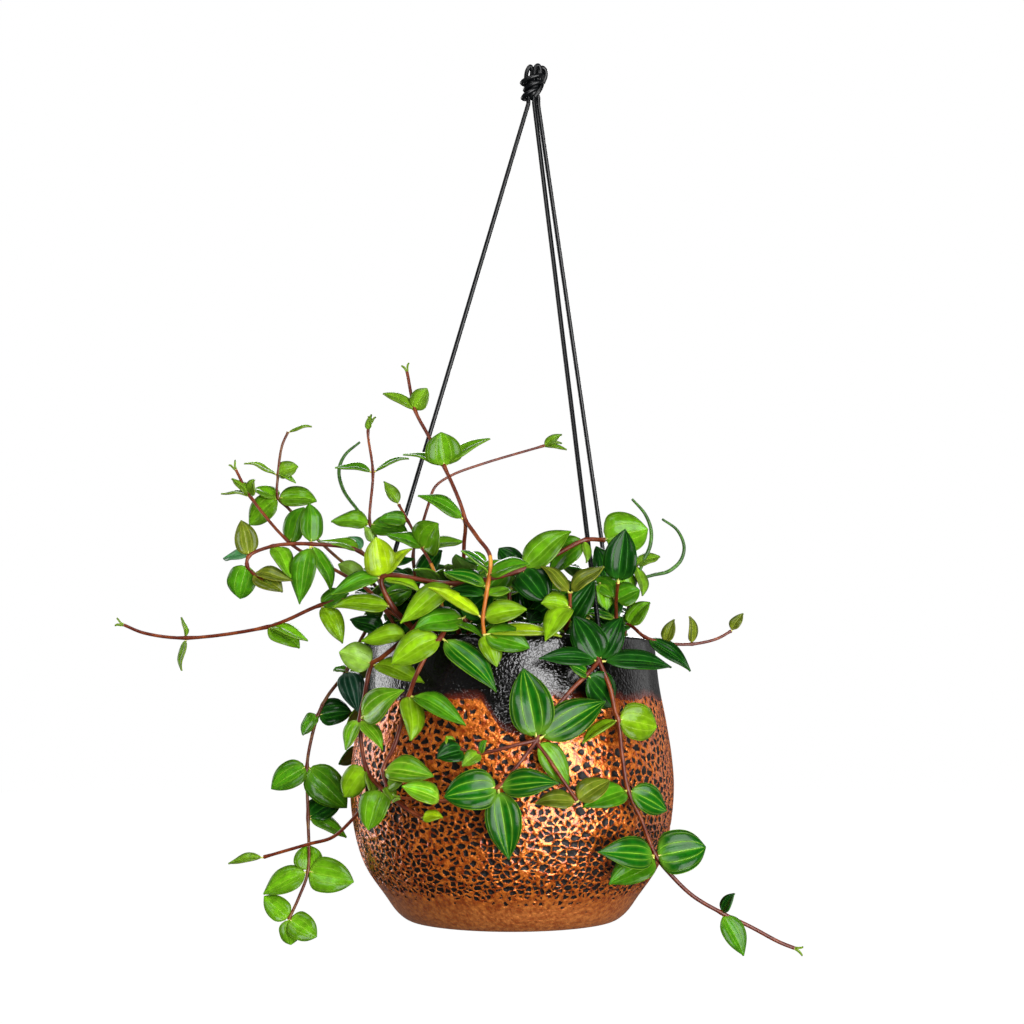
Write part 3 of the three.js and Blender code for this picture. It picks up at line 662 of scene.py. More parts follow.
@dataclass(frozen=True)
class PictureView:
    """Front view of the hanging plant, in which stems and leaf tips are listed.

    Lengths are in millimetres, and a place in the view is in points of a 1024 by 1024 frame.
    """

    distance: float = 880.0
    height: float = 115.8
    tilt: float = math.radians(7.04)
    focal: float = 1562.0
    centre: float = 512.0

    def seen(self, across: float, down: float, depth: float) -> Vector:
        """Finds the place of a point of the view at a given depth.

        Args:
            across: Distance from the view's left edge.
            down: Distance from the view's upper edge.
            depth: Millimetres behind the middle of the pot.

        Returns:
            The place, in millimetres from the pot's foot.
        """
        u = (across - self.centre) / self.focal
        v = (self.centre - down) / self.focal
        reach = (depth + self.distance) / (math.cos(self.tilt) - v * math.sin(self.tilt))
        rise = reach * (math.sin(self.tilt) + v * math.cos(self.tilt))
        return Vector((reach * u, depth, self.height + rise))


@dataclass(frozen=True)
class Stem:
    """A stem as it is listed: its foot in the soil, its route in the front view and its leaves.

    A leaf is (route point, tip across, tip down, depth gained, width, turn, tone).
    """

    piece: str
    side: float
    bark: Bark
    root: tuple[float, float] | None
    route: tuple[Row, ...]
    leaves: tuple[tuple[Any, ...], ...] = ()


@dataclass(frozen=True)
class Leaf:
    """A leaf in space, in millimetres from the pot's foot."""

    base: Vector
    tip: Vector
    width: float
    normal: Vector
    tone: Tone


@dataclass(frozen=True)
class Shoot:
    """A stem in space with its leaves."""

    piece: str
    side: float
    bark: Bark
    root: tuple[float, float] | None
    route: list[Vector]
    leaves: list[Leaf]

    def whole_route(self) -> list[Vector]:
        """Adds the foot in the soil, and the brow where the stem climbs over the rim.

        Returns:
            All points of the stem.
        """
        if self.root is None:
            return list(self.route)
        points = [Vector((*self.root, SOIL_TOP - 11.7)), Vector((*self.root, SOIL_TOP + 4))]
        first = self.route[0]
        reach = math.hypot(first.x, first.y)
        if reach > BROW_REACH and first.z < BROW_UNDER:
            points.append(Vector((BROW_REACH / reach * first.x, BROW_REACH / reach * first.y, RIM_Z)))
        return [*points, *self.route]


# Routes in the front view, each point as across, down and millimetres behind the pot's middle.
STEMS: tuple[Stem, ...] = (
    Stem("stem_tall", 2.2, Bark.RED, (-22, -36), (
        (464, 575, -50), (464, 545, -58), (465, 520, -64), (444, 466, -50), (428, 435, -42),
        (415, 410, -36), (407, 372, -30),
    ), (
        (2, 418, 495, -6, 12, 50, MID), (3, 441, 432, -4, 19, 10, BRIGHT),
        (3, 490, 438, 4, 12, 55, BRIGHT), (3, 403, 454, 2, 10, 65, MID), (5, 383, 393, 0, 11, 55, OLIVE),
        (5, 427, 388, -2, 11, 20, OLIVE),
    )),
    Stem("stem_tall", 2.2, Bark.ORANGE, None, (
        (465, 520, -64), (478, 538, -72), (490, 556, -78), (487, 590, -82), (483, 618, -84),
        (484, 634, -86),
    ), (
        (4, 428, 587, 2, 9, 45, YELLOW), (4, 527, 609, -4, 13, 30, LIME), (5, 562, 636, 2, 12, 60, YELLOW),
        (5, 497, 667, -4, 11, 20, LIME), (5, 530, 648, 1, 15, 25, MID),
    )),
    Stem("stem_arch", 1.7, Bark.RED, (-40, -14), (
        (413, 557, -24), (423, 522, -28), (429, 503, -30), (435, 487, -30), (450, 476, -28),
        (482, 464, -24), (543, 446, -14), (552, 443, -12),
    ), (
        (6, 562, 434, 0, 5, 20, OLIVE), (6, 567, 449, 0, 4, 50, OLIVE),
    )),
    Stem("stem_orange", 1.9, Bark.ORANGE, (-33, -30), (
        (435, 574, -44), (423, 549, -36), (408, 521, -26), (399, 505, -20),
    ), (
        (1, 386, 534, 0, 12, 55, MID), (1, 438, 523, -10, 20, 25, BRIGHT),
        (1, 464, 541, 6, 11, 50, BRIGHT), (2, 378, 520, 2, 11, 40, MID), (3, 384, 481, 0, 7, 20, OLIVE),
    )),
    Stem("stem_upright_left", 1.8, Bark.RED, (-56, -12), (
        (384, 580, -16), (376, 537, -14), (370, 524, -14), (373, 472, -12), (368, 432, -10),
        (370, 425, -10),
    ), (
        (2, 331, 521, 0, 13, 40, BRIGHT), (2, 409, 535, -6, 14, 35, MID), (3, 335, 467, 0, 10, 60, MID),
        (3, 409, 458, -4, 9, 68, MID), (4, 371, 414, 0, 4, 20, OLIVE),
    )),
    Stem("stem_upright_left", 2, Bark.SPIKE, None, (
        (370, 524, -14), (357, 509, -6), (343, 489, 0), (339, 470, 2), (345, 455, 2), (360, 442, 2),
    )),
    Stem("stem_left_high", 1.8, Bark.BROWN, (-57, -24), (
        (379, 590, -18), (340, 560, -18), (309, 531, -22), (288, 508, -24), (278, 498, -24),
        (278, 475, -24), (282, 446, -24), (288, 432, -24),
    ), (
        (4, 317, 501, 2, 15, 40, BRIGHT), (4, 249, 525, 4, 15, 20, BRIGHT),
        (4, 253, 489, 6, 12, 55, BRIGHT), (5, 298, 466, -2, 11, 30, OLIVE), (5, 244, 463, 0, 8, 70, OLIVE),
        (5, 296, 482, -6, 7, 70, BRIGHT), (7, 312, 426, 0, 4, 60, OLIVE),
    )),
    Stem("stem_left_diagonal", 2, Bark.RED, (-50, -34), (
        (370, 592, -40), (344, 575, -38), (315, 559, -36), (290, 543, -34), (250, 496, -32),
        (236, 470, -30),
    ), (
        (3, 304, 507, -4, 14, 30, MID), (4, 232, 478, 0, 7, 50, OLIVE), (4, 254, 479, -4, 8, 40, OLIVE),
        (4, 221, 493, 0, 6, 70, OLIVE),
    )),
    Stem("stem_left_arch", 2.2, Bark.RED, (-52, -28), (
        (378, 578, -40), (361, 552, -46), (311, 544, -48), (291, 544, -48), (273, 546, -48),
        (249, 556, -48), (247, 565, -48), (253, 573, -50), (263, 581, -52),
    ), (
        (1, 318, 540, 6, 12, 60, BRIGHT), (2, 309, 503, 3, 13, 35, MID), (2, 299, 604, -5, 14, 15, MID),
        (2, 331, 591, 3, 13, 60, MID), (4, 291, 578, -6, 13, 50, BRIGHT),
        (5, 241, 520, -2, 12, 20, BRONZE), (5, 223, 558, 10, 11, 50, GREY_SHEEN), (6, 240, 599, 4, 16, 15, MID),
        (7, 292, 580, -6, 9, 40, BRONZE), (7, 283, 592, -2, 12, 30, BRONZE),
    )),
    Stem("stem_left_long", 2.1, Bark.RED, (-52, -44), (
        (402, 619, -46), (352, 600, -44), (321, 605, -42), (287, 620, -40), (267, 627, -38),
        (186, 638, -32), (144, 633, -30), (124, 625, -29),
    ), (
        (2, 343, 643, -4, 12, 35, LIME), (2, 349, 593, 4, 12, 40, MID), (4, 308, 640, -6, 11, 62, BRIGHT),
        (4, 300, 648, 3, 14, 45, BRIGHT), (5, 182, 617, 0, 4, 70, OLIVE), (5, 181, 671, 0, 6, 50, OLIVE),
    )),
    Stem("stem_trail_left", 2.6, Bark.RED, (-38, -50), (
        (422, 621, -62), (409, 635, -67), (398, 644, -65), (381, 658, -60), (372, 664, -57),
        (364, 699, -54), (360, 719, -54), (366, 768, -56), (383, 790, -68), (410, 811, -80),
        (422, 817, -84),
    ), (
        (1, 361, 641, 3, 12, 35, LIME), (4, 339, 652, 0, 16, 28, PALE), (4, 424, 682, -20, 13, 40, LIME),
        (6, 404, 690, -24, 16, 20, STRIPED), (6, 345, 750, 2, 10, 40, STRIPED),
        (6, 383, 750, -14, 9, 40, STRIPED), (7, 344, 797, 4, 14, 20, LIME),
        (7, 373, 806, -8, 8, 60, OLIVE), (8, 368, 830, -6, 17, 30, BRIGHT),
        (10, 443, 817, -4, 7, 40, YELLOW),
    )),
    Stem("stem_trail_left", 2, Bark.RED, None, (
        (366, 768, -56), (366, 799, -56), (346, 826, -46), (331, 838, -40), (309, 844, -34),
        (264, 857, -28),
    ), (
        (5, 228, 863, 0, 6, 50, OLIVE),
    )),
    Stem("stem_trail_front", 2.6, Bark.RED, (-28, -54), (
        (450, 621, -71), (441, 637, -79), (427, 654, -84), (415, 678, -82), (409, 695, -78),
        (403, 717, -76), (394, 747, -75), (383, 770, -74), (387, 787, -78),
    ), (
        (0, 483, 637, -10, 7, 60, MID), (1, 391, 664, -2, 18, 30, LIME),
        (1, 497, 692, -14, 15, 30, VEINED), (4, 466, 725, -14, 13, 45, MID),
        (4, 411, 741, -10, 14, 40, LIME), (7, 434, 776, -12, 15, 35, STRIPED),
        (8, 405, 779, -6, 8, 30, OLIVE), (8, 392, 800, -4, 7, 40, OLIVE),
    )),
    Stem("stem_hanging_left", 2.1, Bark.BROWN, (-60, -2), (
        (375, 622, -8), (358, 645, -10), (347, 670, -10), (327, 697, -10), (318, 715, -10),
        (310, 745, -12), (307, 766, -12), (308, 818, -12), (308, 871, -14), (299, 897, -14),
        (289, 919, -14),
    ), (
        (2, 333, 670, 0, 8, 65, MID), (2, 358, 712, -14, 14, 10, STREAK_GLINT), (4, 352, 712, 4, 16, 30, DARK),
        (4, 302, 735, 0, 11, 45, MID), (6, 271, 789, 0, 15, 20, MID), (6, 347, 808, 6, 19, 5, MID),
        (7, 340, 800, 14, 15, 30, DARK), (7, 347, 837, 2, 12, 60, MID), (8, 309, 845, 4, 15, 5, BRIGHT),
        (8, 263, 894, 0, 14, 25, BRIGHT), (8, 354, 882, -2, 18, 10, BRIGHT),
        (10, 264, 896, 2, 12, 15, BRIGHT), (10, 317, 937, 0, 14, 15, BRIGHT),
        (10, 291, 945, 2, 12, 20, BRIGHT),
    )),
    Stem("stem_trail_right", 2.4, Bark.RED, (28, -50), (
        (584, 623, -69), (599, 661, -81), (610, 688, -82), (615, 711, -80), (618, 719, -79),
        (622, 755, -78), (628, 790, -77), (641, 819, -73), (656, 856, -68), (672, 876, -66),
        (693, 896, -64), (722, 913, -62), (751, 927, -60), (779, 942, -58), (794, 948, -57),
    ), (
        (1, 539, 658, -12, 11, 35, DARK), (1, 672, 667, 24, 12, 35, DARK), (1, 574, 616, 1, 17, 5, DARK),
        (1, 622, 617, 6, 14, 10, DARK), (4, 657, 727, 12, 18, 10, LIME), (4, 582, 743, -10, 10, 60, LIME),
        (6, 583, 807, -18, 14, 30, MID), (6, 667, 811, 14, 14, 20, VEINED),
        (8, 598, 852, -20, 16, 20, VEINED), (8, 706, 847, 4, 21, 10, VEINED),
        (8, 609, 884, -7, 16, 20, MID), (11, 734, 893, -4, 7, 50, DARK), (11, 744, 956, 0, 12, 20, MID),
    )),
    Stem("stem_trail_right", 2.2, Bark.RED, None, (
        (599, 661, -81), (587, 674, -86), (560, 703, -91), (537, 740, -96), (548, 758, -98),
        (577, 801, -99),
    ), (
        (1, 570, 665, -6, 9, 40, VEINED), (1, 612, 707, 16, 16, 15, DARK), (3, 523, 668, 4, 21, 5, VEINED),
        (3, 606, 701, 12, 18, 15, VEINED), (3, 569, 787, 5, 13, 20, BRIGHT),
        (5, 535, 803, -2, 11, 45, BRONZE), (5, 610, 780, 6, 13, 35, BRONZE),
    )),
    Stem("stem_trail_right", 1.9, Bark.RED, None, (
        (537, 740, -96), (520, 744, -98), (480, 753, -97), (463, 750, -96), (452, 746, -95),
    ), (
        (2, 486, 740, -4, 5, 50, MID), (2, 462, 766, -4, 8, 30, OLIVE), (4, 446, 736, 0, 6, 40, LIME),
        (3, 437, 758, -4, 13, 35, DARK),
    )),
    Stem("stem_trail_right", 1.9, Bark.RED, None, (
        (537, 740, -96), (521, 761, -101), (498, 787, -101), (465, 799, -99), (441, 801, -97),
        (417, 799, -94), (401, 798, -90),
    ), (
        (2, 559, 783, -8, 14, 25, VEINED), (2, 509, 860, 3, 17, 5, VEINED),
        (2, 444, 797, 0, 19, 15, VEINED), (4, 402, 786, -5, 12, 40, STRIPED),
    )),
    Stem("stem_right", 1.9, Bark.RED, (52, -30), (
        (628, 625, -46), (645, 637, -54), (665, 643, -54), (692, 644, -50), (716, 639, -48),
        (731, 631, -46),
    ), (
        (0, 650, 602, 0, 12, 40, BRIGHT), (0, 604, 634, -20, 10, 40, DARK),
        (1, 691, 671, -6, 11, 40, DARK), (2, 674, 619, -2, 7, 20, BRONZE),
        (3, 690, 616, -4, 8, 50, BRONZE), (5, 743, 613, 0, 6, 30, BRONZE),
    )),
    Stem("stem_centre", 2.8, Bark.RED, (-36, -44), (
        (392, 606, -59), (382, 577, -62), (455, 584, -66), (522, 570, -68), (555, 555, -66),
        (585, 540, -66), (604, 540, -60),
    ), (
        (0, 333, 607, -8, 14, 45, LIME), (1, 376, 537, -4, 16, 10, YELLOW),
        (1, 412, 548, 2, 10, 50, YELLOW), (1, 331, 594, -6, 13, 45, MID), (1, 421, 592, -8, 10, 60, LIME),
        (2, 400, 623, -8, 14, 25, LIME), (2, 509, 561, 0, 10, 60, MID), (3, 547, 601, -8, 19, 10, DARK),
        (3, 571, 531, 2, 17, 30, BRIGHT), (5, 549, 572, 8, 16, 35, MID), (5, 587, 563, -5, 5, 30, OLIVE),
        (6, 648, 529, 4, 23, 15, BRIGHT),
    )),
    Stem("stem_cluster", 2, Bark.RED, (16, -38), (
        (568, 622, -68), (570, 606, -75), (570, 593, -78),
    ), (
        (1, 545, 640, -20, 13, 35, LIME), (1, 541, 603, -4, 12, 30, LIME), (0, 594, 580, -4, 15, 20, DARK),
        (2, 541, 566, 2, 10, 45, BRONZE), (2, 604, 566, -3, 11, 45, BRONZE),
    )),
    Stem("stem_front_low", 2.2, Bark.RED, (-8, -50), (
        (466, 622, -70), (464, 618, -71),
    ), (
        (1, 414, 630, -6, 17, 40, MID), (1, 492, 590, 2, 16, 25, DARK),
    )),
    Stem("stem_right_upright", 2.2, Bark.RED, (46, -12), (
        (627, 622, -28), (631, 595, -26), (636, 580, -24), (636, 565, -24),
    ), (
        (1, 612, 562, -4, 13, 25, BRIGHT), (3, 660, 556, 0, 10, 50, OLIVE),
        (3, 643, 596, -6, 10, 50, OLIVE),
    )),
    Stem("stem_right_upright", 2, Bark.SPIKE, None, (
        (636, 580, -24), (644, 560, -24), (650, 546, -24), (651, 530, -24), (645, 514, -24),
        (632, 499, -24),
    )),
    Stem("stem_right_upright", 2, Bark.SPIKE, None, (
        (636, 580, -24), (653, 575, -20), (669, 571, -16), (681, 560, -14), (684, 546, -14),
        (677, 530, -14), (662, 519, -14),
    )),
    Stem("stem_right_dark", 2.2, Bark.RED, (36, -30), (
        (615, 622, -48), (616, 600, -58), (618, 583, -68),
    ), (
        (2, 625, 529, -4, 17, 10, DARK), (1, 640, 590, 0, 14, 30, MID), (1, 588, 575, 20, 14, 30, MID),
    )),
)

# Cords from the stopper knot inside the wall up to the top knot, in millimetres from the pot's foot.
CORD_ROUTES: dict[str, tuple[Row, ...]] = {
    "cord_left": (
        (-74.1, 0, 137.7), (-77.2, 0, 140.3), (-80.2, 0, 142.8), (-81.4, 0, 144.3), (-82, 0, 146.2),
        (-81.9, 0, 148), (-80.8, 0, 151.8), (-78.3, 0, 160.7), (-72.8, 0, 179.7), (-63.6, 0, 211.5),
        (-54.5, 0, 243.3), (-43.5, 0, 281.4), (-32.5, 0, 319.5), (-21.5, 0, 357.7), (-10.5, 0, 395.8),
        (0.4, 0, 433.9), (9.6, 0, 465.7),
    ),
    "cord_front": (
        (41.5, -61.5, 137.7), (43.2, -64, 140.3), (44.8, -66.5, 142.8), (45.5, -67.5, 144.3),
        (45.9, -68, 146.2), (45.8, -67.9, 148), (45.4, -67.1, 151.8), (44.5, -65.3, 160.7),
        (42.5, -61.3, 179.7), (39.2, -54.7, 211.5), (35.9, -48, 243.3), (32, -40.1, 281.4),
        (28, -32.1, 319.5), (24.1, -24.1, 357.7), (20.1, -16.2, 395.8), (16.2, -8.2, 433.9),
        (12.9, -1.6, 465.7),
    ),
    "cord_back": (
        (56.8, 47.7, 137.7), (59.1, 49.6, 140.3), (61.4, 51.6, 142.8), (62.4, 52.4, 144.3),
        (62.8, 52.7, 146.2), (62.8, 52.7, 148), (62.2, 52, 151.8), (60.9, 50.6, 160.7), (58, 47.5, 179.7),
        (53.3, 42.4, 211.5), (48.6, 37.3, 243.3), (42.9, 31.1, 281.4), (37.2, 25, 319.5),
        (31.5, 18.8, 357.7), (25.8, 12.7, 395.8), (20.1, 6.5, 433.9), (15.4, 1.4, 465.7),
    ),
}

# Leaves low in the crown: base (across, down, behind), tip (across, down), depth gained, width, turn, tone.
UNDERGROWTH: tuple[tuple[Any, ...], ...] = (
    (419, 579, -30, 442, 550, 0, 13, 30, DARK), (388, 568, -28, 414, 558, 0, 7, 45, DARK),
    (382, 576, -30, 415, 590, 0, 14, 20, DARK), (392, 606, -34, 412, 588, 0, 10, 35, MID),
    (508, 566, -54, 480, 600, 4, 18, 20, MID), (518, 570, -46, 499, 548, 0, 13, 25, DARK),
    (487, 562, -54, 468, 553, 0, 6, 40, MID), (398, 634, -34, 416, 600, 4, 17, 15, DARK),
    (434, 622, -36, 420, 588, 4, 16, 15, DARK), (446, 614, -34, 468, 588, 4, 16, 20, DARK),
    (470, 624, -38, 486, 592, 4, 16, 15, DARK), (508, 620, -38, 498, 584, 4, 17, 15, DARK),
    (534, 618, -36, 520, 584, 4, 16, 20, DARK), (557, 604, -46, 527, 621, 0, 14, 25, DARK),
    (589, 618, -52, 551, 624, 0, 11, 35, DARK), (600, 583, -52, 607, 610, -4, 11, 25, BRIGHT),
    (608, 584, -40, 596, 546, 4, 14, 30, DARK), (384, 632, -30, 350, 619, 4, 12, 35, DARK),
    (362, 578, -26, 338, 564, 0, 11, 30, PALE), (362, 549, -26, 347, 537, 0, 8, 40, GREY_SHEEN),
    (374, 543, -18, 364, 526, 0, 6, 30, PALE), (604, 622, -40, 618, 592, 4, 14, 20, DARK),
    (566, 616, -40, 556, 584, 6, 15, 20, MID),
)


@dataclass
class Draw:
    """A fixed sequence of numbers that look random."""

    state: int
    factor: int = 16807
    span: int = 2147483647

    def between(self, low: float = 0.0, high: float = 1.0) -> float:
        """Draws the next number between two others."""
        self.state = (self.state * self.factor) % self.span
        return low + ((high - low) * self.state) / self.span


@dataclass
class Growth:
    """Places every stem and leaf: the listed ones, and those that follow a rule where no view shows them."""

    view: PictureView = field(default_factory=PictureView)
    draw: Draw = field(default_factory=lambda: Draw(4301))
    attempts: int = 5
    crown_count: int = 12
    crown_start: float = 111.0
    crown_inmost: float = 12.0
    crown_spread: float = 36.0
    crown_lean: tuple[float, float] = (8.0, 20.0)
    crown_height: tuple[float, float] = (50.0, 72.0)
    crown_slope: float = 0.3
    crown_joints: tuple[Row, ...] = ((0.2, 0.4), (0.55, 0.72), (1.0, 1.0))
    golden_angle: float = 137.5
    leaf_length: tuple[float, float] = (23.0, 31.0)
    leaf_width: tuple[float, float] = (0.48, 0.62)
    leaf_sway: float = 24.0
    leaf_nod: float = 16.0
    right_edge: float = 66.0
    stem_room: float = 2.6
    trails: tuple[tuple[float, int], ...] = ((56, 4), (74, 3), (91, 5), (108, 4), (125, 3), (142, 3))
    trail_brow: tuple[Row, Row] = ((77, 161), (93, 156))
    trail_swing: float = 6.0
    trail_rises: tuple[float, float] = (-38.0, -8.0)
    trail_side: float = 70.0
    trail_reach: float = 101.0
    trail_from: float = 138.0
    trail_step: float = 25.0
    mouth_reach: float = 71.0
    spread_reach: float = 84.0
    spread_from: float = 156.0
    low_heights: tuple[float, float] = (138.0, 184.0)
    low_shares: Row = (0.2, 0.55, 0.9)
    rule_tones: tuple[Tone, ...] = (DARK, MID, DARK, VEINED, MID, BRIGHT, DARK)
    room: list[tuple[Vector, float]] = field(default_factory=list)

    def keep_clear(self, shoot: Shoot) -> None:
        """Reserves room along a stem, for other leaves to stay clear of."""
        points = shoot.whole_route()
        for before, point in zip([points[0], *points], points):
            for share in (0, 1 / 3, 2 / 3):
                self.room.append((point.lerp(before, share), self.stem_room))

    def balls(self, leaf: Leaf) -> list[tuple[Vector, float]]:
        """Stands balls along a leaf for the room that it takes, each with its centre and radius."""
        radius = 0.3 * leaf.width + 0.2
        return [(leaf.base.lerp(leaf.tip, share), radius) for share in (0.35, 0.55, 0.75, 0.95)]

    def has_room(self, leaf: Leaf) -> bool:
        """Tests whether a leaf clears the cords, the stems and the other leaves.

        Args:
            leaf: Leaf to place.

        Returns:
            True where nothing is in its way.
        """
        for centre, radius in self.balls(leaf):
            if centre.z > RIM_Z and centre.x + radius > self.right_edge:
                return False
            for route in CORD_ROUTES.values():
                low, high = Vector(route[6]), Vector(route[-1])
                nearest, share = intersect_point_line(centre, low, high)
                nearest = low if share < 0 else high if share > 1 else nearest
                if (nearest - centre).length < leaf.width / 2 + CORD_DIAMETER:
                    return False
            if any((place - centre).length <= reach + radius for place, reach in self.room):
                return False
        return True

    def settled(self, shoot: Shoot, leaf: Leaf, count: int) -> bool:
        """Gives a leaf to a stem if it has room, in the tone that is next.

        Args:
            shoot: Stem to dress.
            leaf: Leaf to place.
            count: Count of the tone.

        Returns:
            True where the leaf found its place.
        """
        if not self.has_room(leaf):
            return False
        self.room.extend(self.balls(leaf))
        shoot.leaves.append(replace(leaf, tone=self.rule_tones[count % len(self.rule_tones)]))
        return True

    def seen_leaf(
        self, seat: Row, across: float, down: float, gained: float, width: float, turn: float, tone: Tone
    ) -> Leaf:
        """Puts a listed leaf in space.

        Args:
            seat: Its base in the front view, across, down and behind the pot's middle.
            across: Distance of its tip from the view's left edge.
            down: Distance of its tip from the view's upper edge.
            gained: How much further back its tip is than its base.
            width: Its width.
            turn: Angle that its face is turned from the view, in degrees.
            tone: Its tone.

        Returns:
            The leaf.
        """
        base = self.view.seen(*seat)
        tip = self.view.seen(across, down, seat[2] + gained)
        direction = (tip - base).normalized()
        forward = squared(direction, Vector((0, -1, 0)))
        side = direction.cross(forward)
        if side.z + 0.01 * side.x < 0:
            side.negate()
        angle = math.radians(turn)
        return Leaf(base, tip, width, forward * math.cos(angle) + side * math.sin(angle), tone)

    def listed(self, stem: Stem) -> Shoot:
        """Puts a listed stem in space, with its leaves."""
        route = [self.view.seen(*point) for point in stem.route]
        leaves = [self.seen_leaf(stem.route[joint], *leaf) for joint, *leaf in stem.leaves]
        return Shoot(stem.piece, stem.side, stem.bark, stem.root, route, leaves)

    def drawn_leaf(self, base: Vector, azimuth: float, rise: float, scale: float, facing: Vector) -> Leaf:
        """Draws a leaf for a place on a stem.

        Args:
            base: Place on the stem.
            azimuth: Heading of the leaf, in degrees.
            rise: Rise of the leaf, in degrees.
            scale: Share of the full length.
            facing: Where its upper face turns, as far as the leaf's own direction allows.

        Returns:
            The leaf.
        """
        heading = math.radians(azimuth + self.draw.between(-self.leaf_sway, self.leaf_sway))
        pitch = math.radians(rise + self.draw.between(-self.leaf_nod, self.leaf_nod))
        length = scale * self.draw.between(*self.leaf_length)
        width = length * self.draw.between(*self.leaf_width)
        flat = math.cos(pitch)
        direction = Vector((flat * math.cos(heading), flat * math.sin(heading), math.sin(pitch)))
        return Leaf(base, base + direction * length, width, squared(direction, facing), DARK)

    def crown_plan(self, number: int) -> tuple[Shoot, list[tuple[Any, ...]]]:
        """Plans a short stem in the middle of the pot.

        Args:
            number: Count from zero.

        Returns:
            The bare stem and the seats of its leaves.
        """
        azimuth = number * self.golden_angle + self.crown_start
        radius = self.crown_inmost + self.crown_spread * math.sqrt((number + 0.5) / self.crown_count)
        lean = self.draw.between(*self.crown_lean)
        height = self.draw.between(*self.crown_height) - radius * self.crown_slope
        outward = around(azimuth)
        route = [
            outward * (radius + tilt * lean) + Vector((0, 0, SOIL_TOP + rise * height))
            for tilt, rise in self.crown_joints
        ]
        facing = Vector((0.5 * outward.x, 0.5 * outward.y, 1))
        seats = [
            (point, azimuth + 90 * joint + side, 8 * joint - 8, 1.05, facing)
            for joint, point in enumerate(route)
            for side in (45, 225)
        ]
        root = outward * radius
        return Shoot(f"stem_crown_{number + 1}", 2.2, Bark.RED, (root.x, root.y), route, []), seats

    def trail_plan(self, number: int) -> tuple[Shoot, list[tuple[Any, ...]]]:
        """Plans a stem that climbs over the rim and hangs outside the pot.

        Args:
            number: Count from zero.

        Returns:
            The bare stem and the seats of its leaves.
        """
        azimuth, drops = self.trails[number]
        swing = self.draw.between(-self.trail_swing, self.trail_swing)

        def at(distance: float, height: float, share: float) -> Vector:
            heading = math.radians(azimuth + swing * share)
            return Vector((distance * math.cos(heading), distance * math.sin(heading), height))

        route = [at(*brow, 0) for brow in self.trail_brow]
        for drop in range(drops):
            reach = self.trail_reach + self.draw.between(-1, 3)
            route.append(at(reach, self.trail_from - self.trail_step * drop, (drop + 1) / drops))
        root = at(ROOT_REACH, 0, 0)
        facing = Vector((root.x / ROOT_REACH, root.y / ROOT_REACH, 0.5))
        seats = [
            (point, azimuth + swing * (joint / drops) + side, rise, 1 - 0.06 * joint, facing)
            for joint, (point, rise) in enumerate(zip(route[1:], cycle(self.trail_rises)))
            for side in (self.trail_side, -self.trail_side)
        ]
        return Shoot(f"stem_back_{number + 1}", 2.2, Bark.BROWN, (root.x, root.y), route, []), seats

    def low_places(self, shoot: Shoot) -> list[Vector]:
        """Lists the places low on a stem that lie in the pot's mouth.

        Args:
            shoot: Stem to look along.

        Returns:
            Places for leaves, from the soil upwards.
        """
        lowest, highest = self.low_heights
        route = shoot.whole_route()
        low = []
        for before, after in zip(route, route[1:]):
            for point in (before.lerp(after, share) for share in self.low_shares):
                reach = self.mouth_reach if point.z < self.spread_from else self.spread_reach
                if lowest < point.z < highest and math.hypot(point.x, point.y) <= reach:
                    low.append(point)
        return low

    def fill(self, order: int, shoot: Shoot) -> None:
        """Fills the pot's mouth with the low leaves of the stems that rise through it.

        Args:
            order: Count of the stem.
            shoot: Stem to dress.
        """
        for low, point in enumerate(self.low_places(shoot), 1):
            facing = Vector((point.x / 140, point.y / 140 - 0.25, 1))
            for turn in range(3):
                azimuth = order * 47 + low * 80 + turn * 120
                for attempt in range(3 * self.attempts):
                    leaf = self.drawn_leaf(point, azimuth, 18, 0.95 - 0.02 * attempt, facing)
                    inside = math.hypot(leaf.tip.x, leaf.tip.y) < 0.5 * leaf.tip.z + 2
                    if inside and self.settled(shoot, leaf, order + low + turn):
                        break

    def grow(self) -> dict[str, list[Shoot]]:
        """Grows the whole plant.

        Returns:
            The stems of each piece.
        """
        shoots = [self.listed(stem) for stem in STEMS]
        for shoot in shoots:
            for leaf in shoot.leaves:
                self.room.extend(self.balls(leaf))
            self.keep_clear(shoot)
        plans = [self.crown_plan(number) for number in range(self.crown_count)]
        plans += [self.trail_plan(number) for number in range(len(self.trails))]
        for shoot, _ in plans:
            self.keep_clear(shoot)
        for order, (shoot, seats) in enumerate(plans):
            for seat in seats:
                for _ in range(self.attempts):
                    if self.settled(shoot, self.drawn_leaf(*seat), order + len(shoot.leaves)):
                        break
            shoots.append(shoot)
        for order, shoot in enumerate(shoots):
            self.fill(order, shoot)
        centre = next(shoot for shoot in shoots if shoot.piece == "stem_centre")
        centre.leaves.extend(self.seen_leaf(row[:3], *row[3:]) for row in UNDERGROWTH)
        pieces: dict[str, list[Shoot]] = {}
        for shoot in shoots:
            pieces.setdefault(shoot.piece, []).append(shoot)
        return pieces


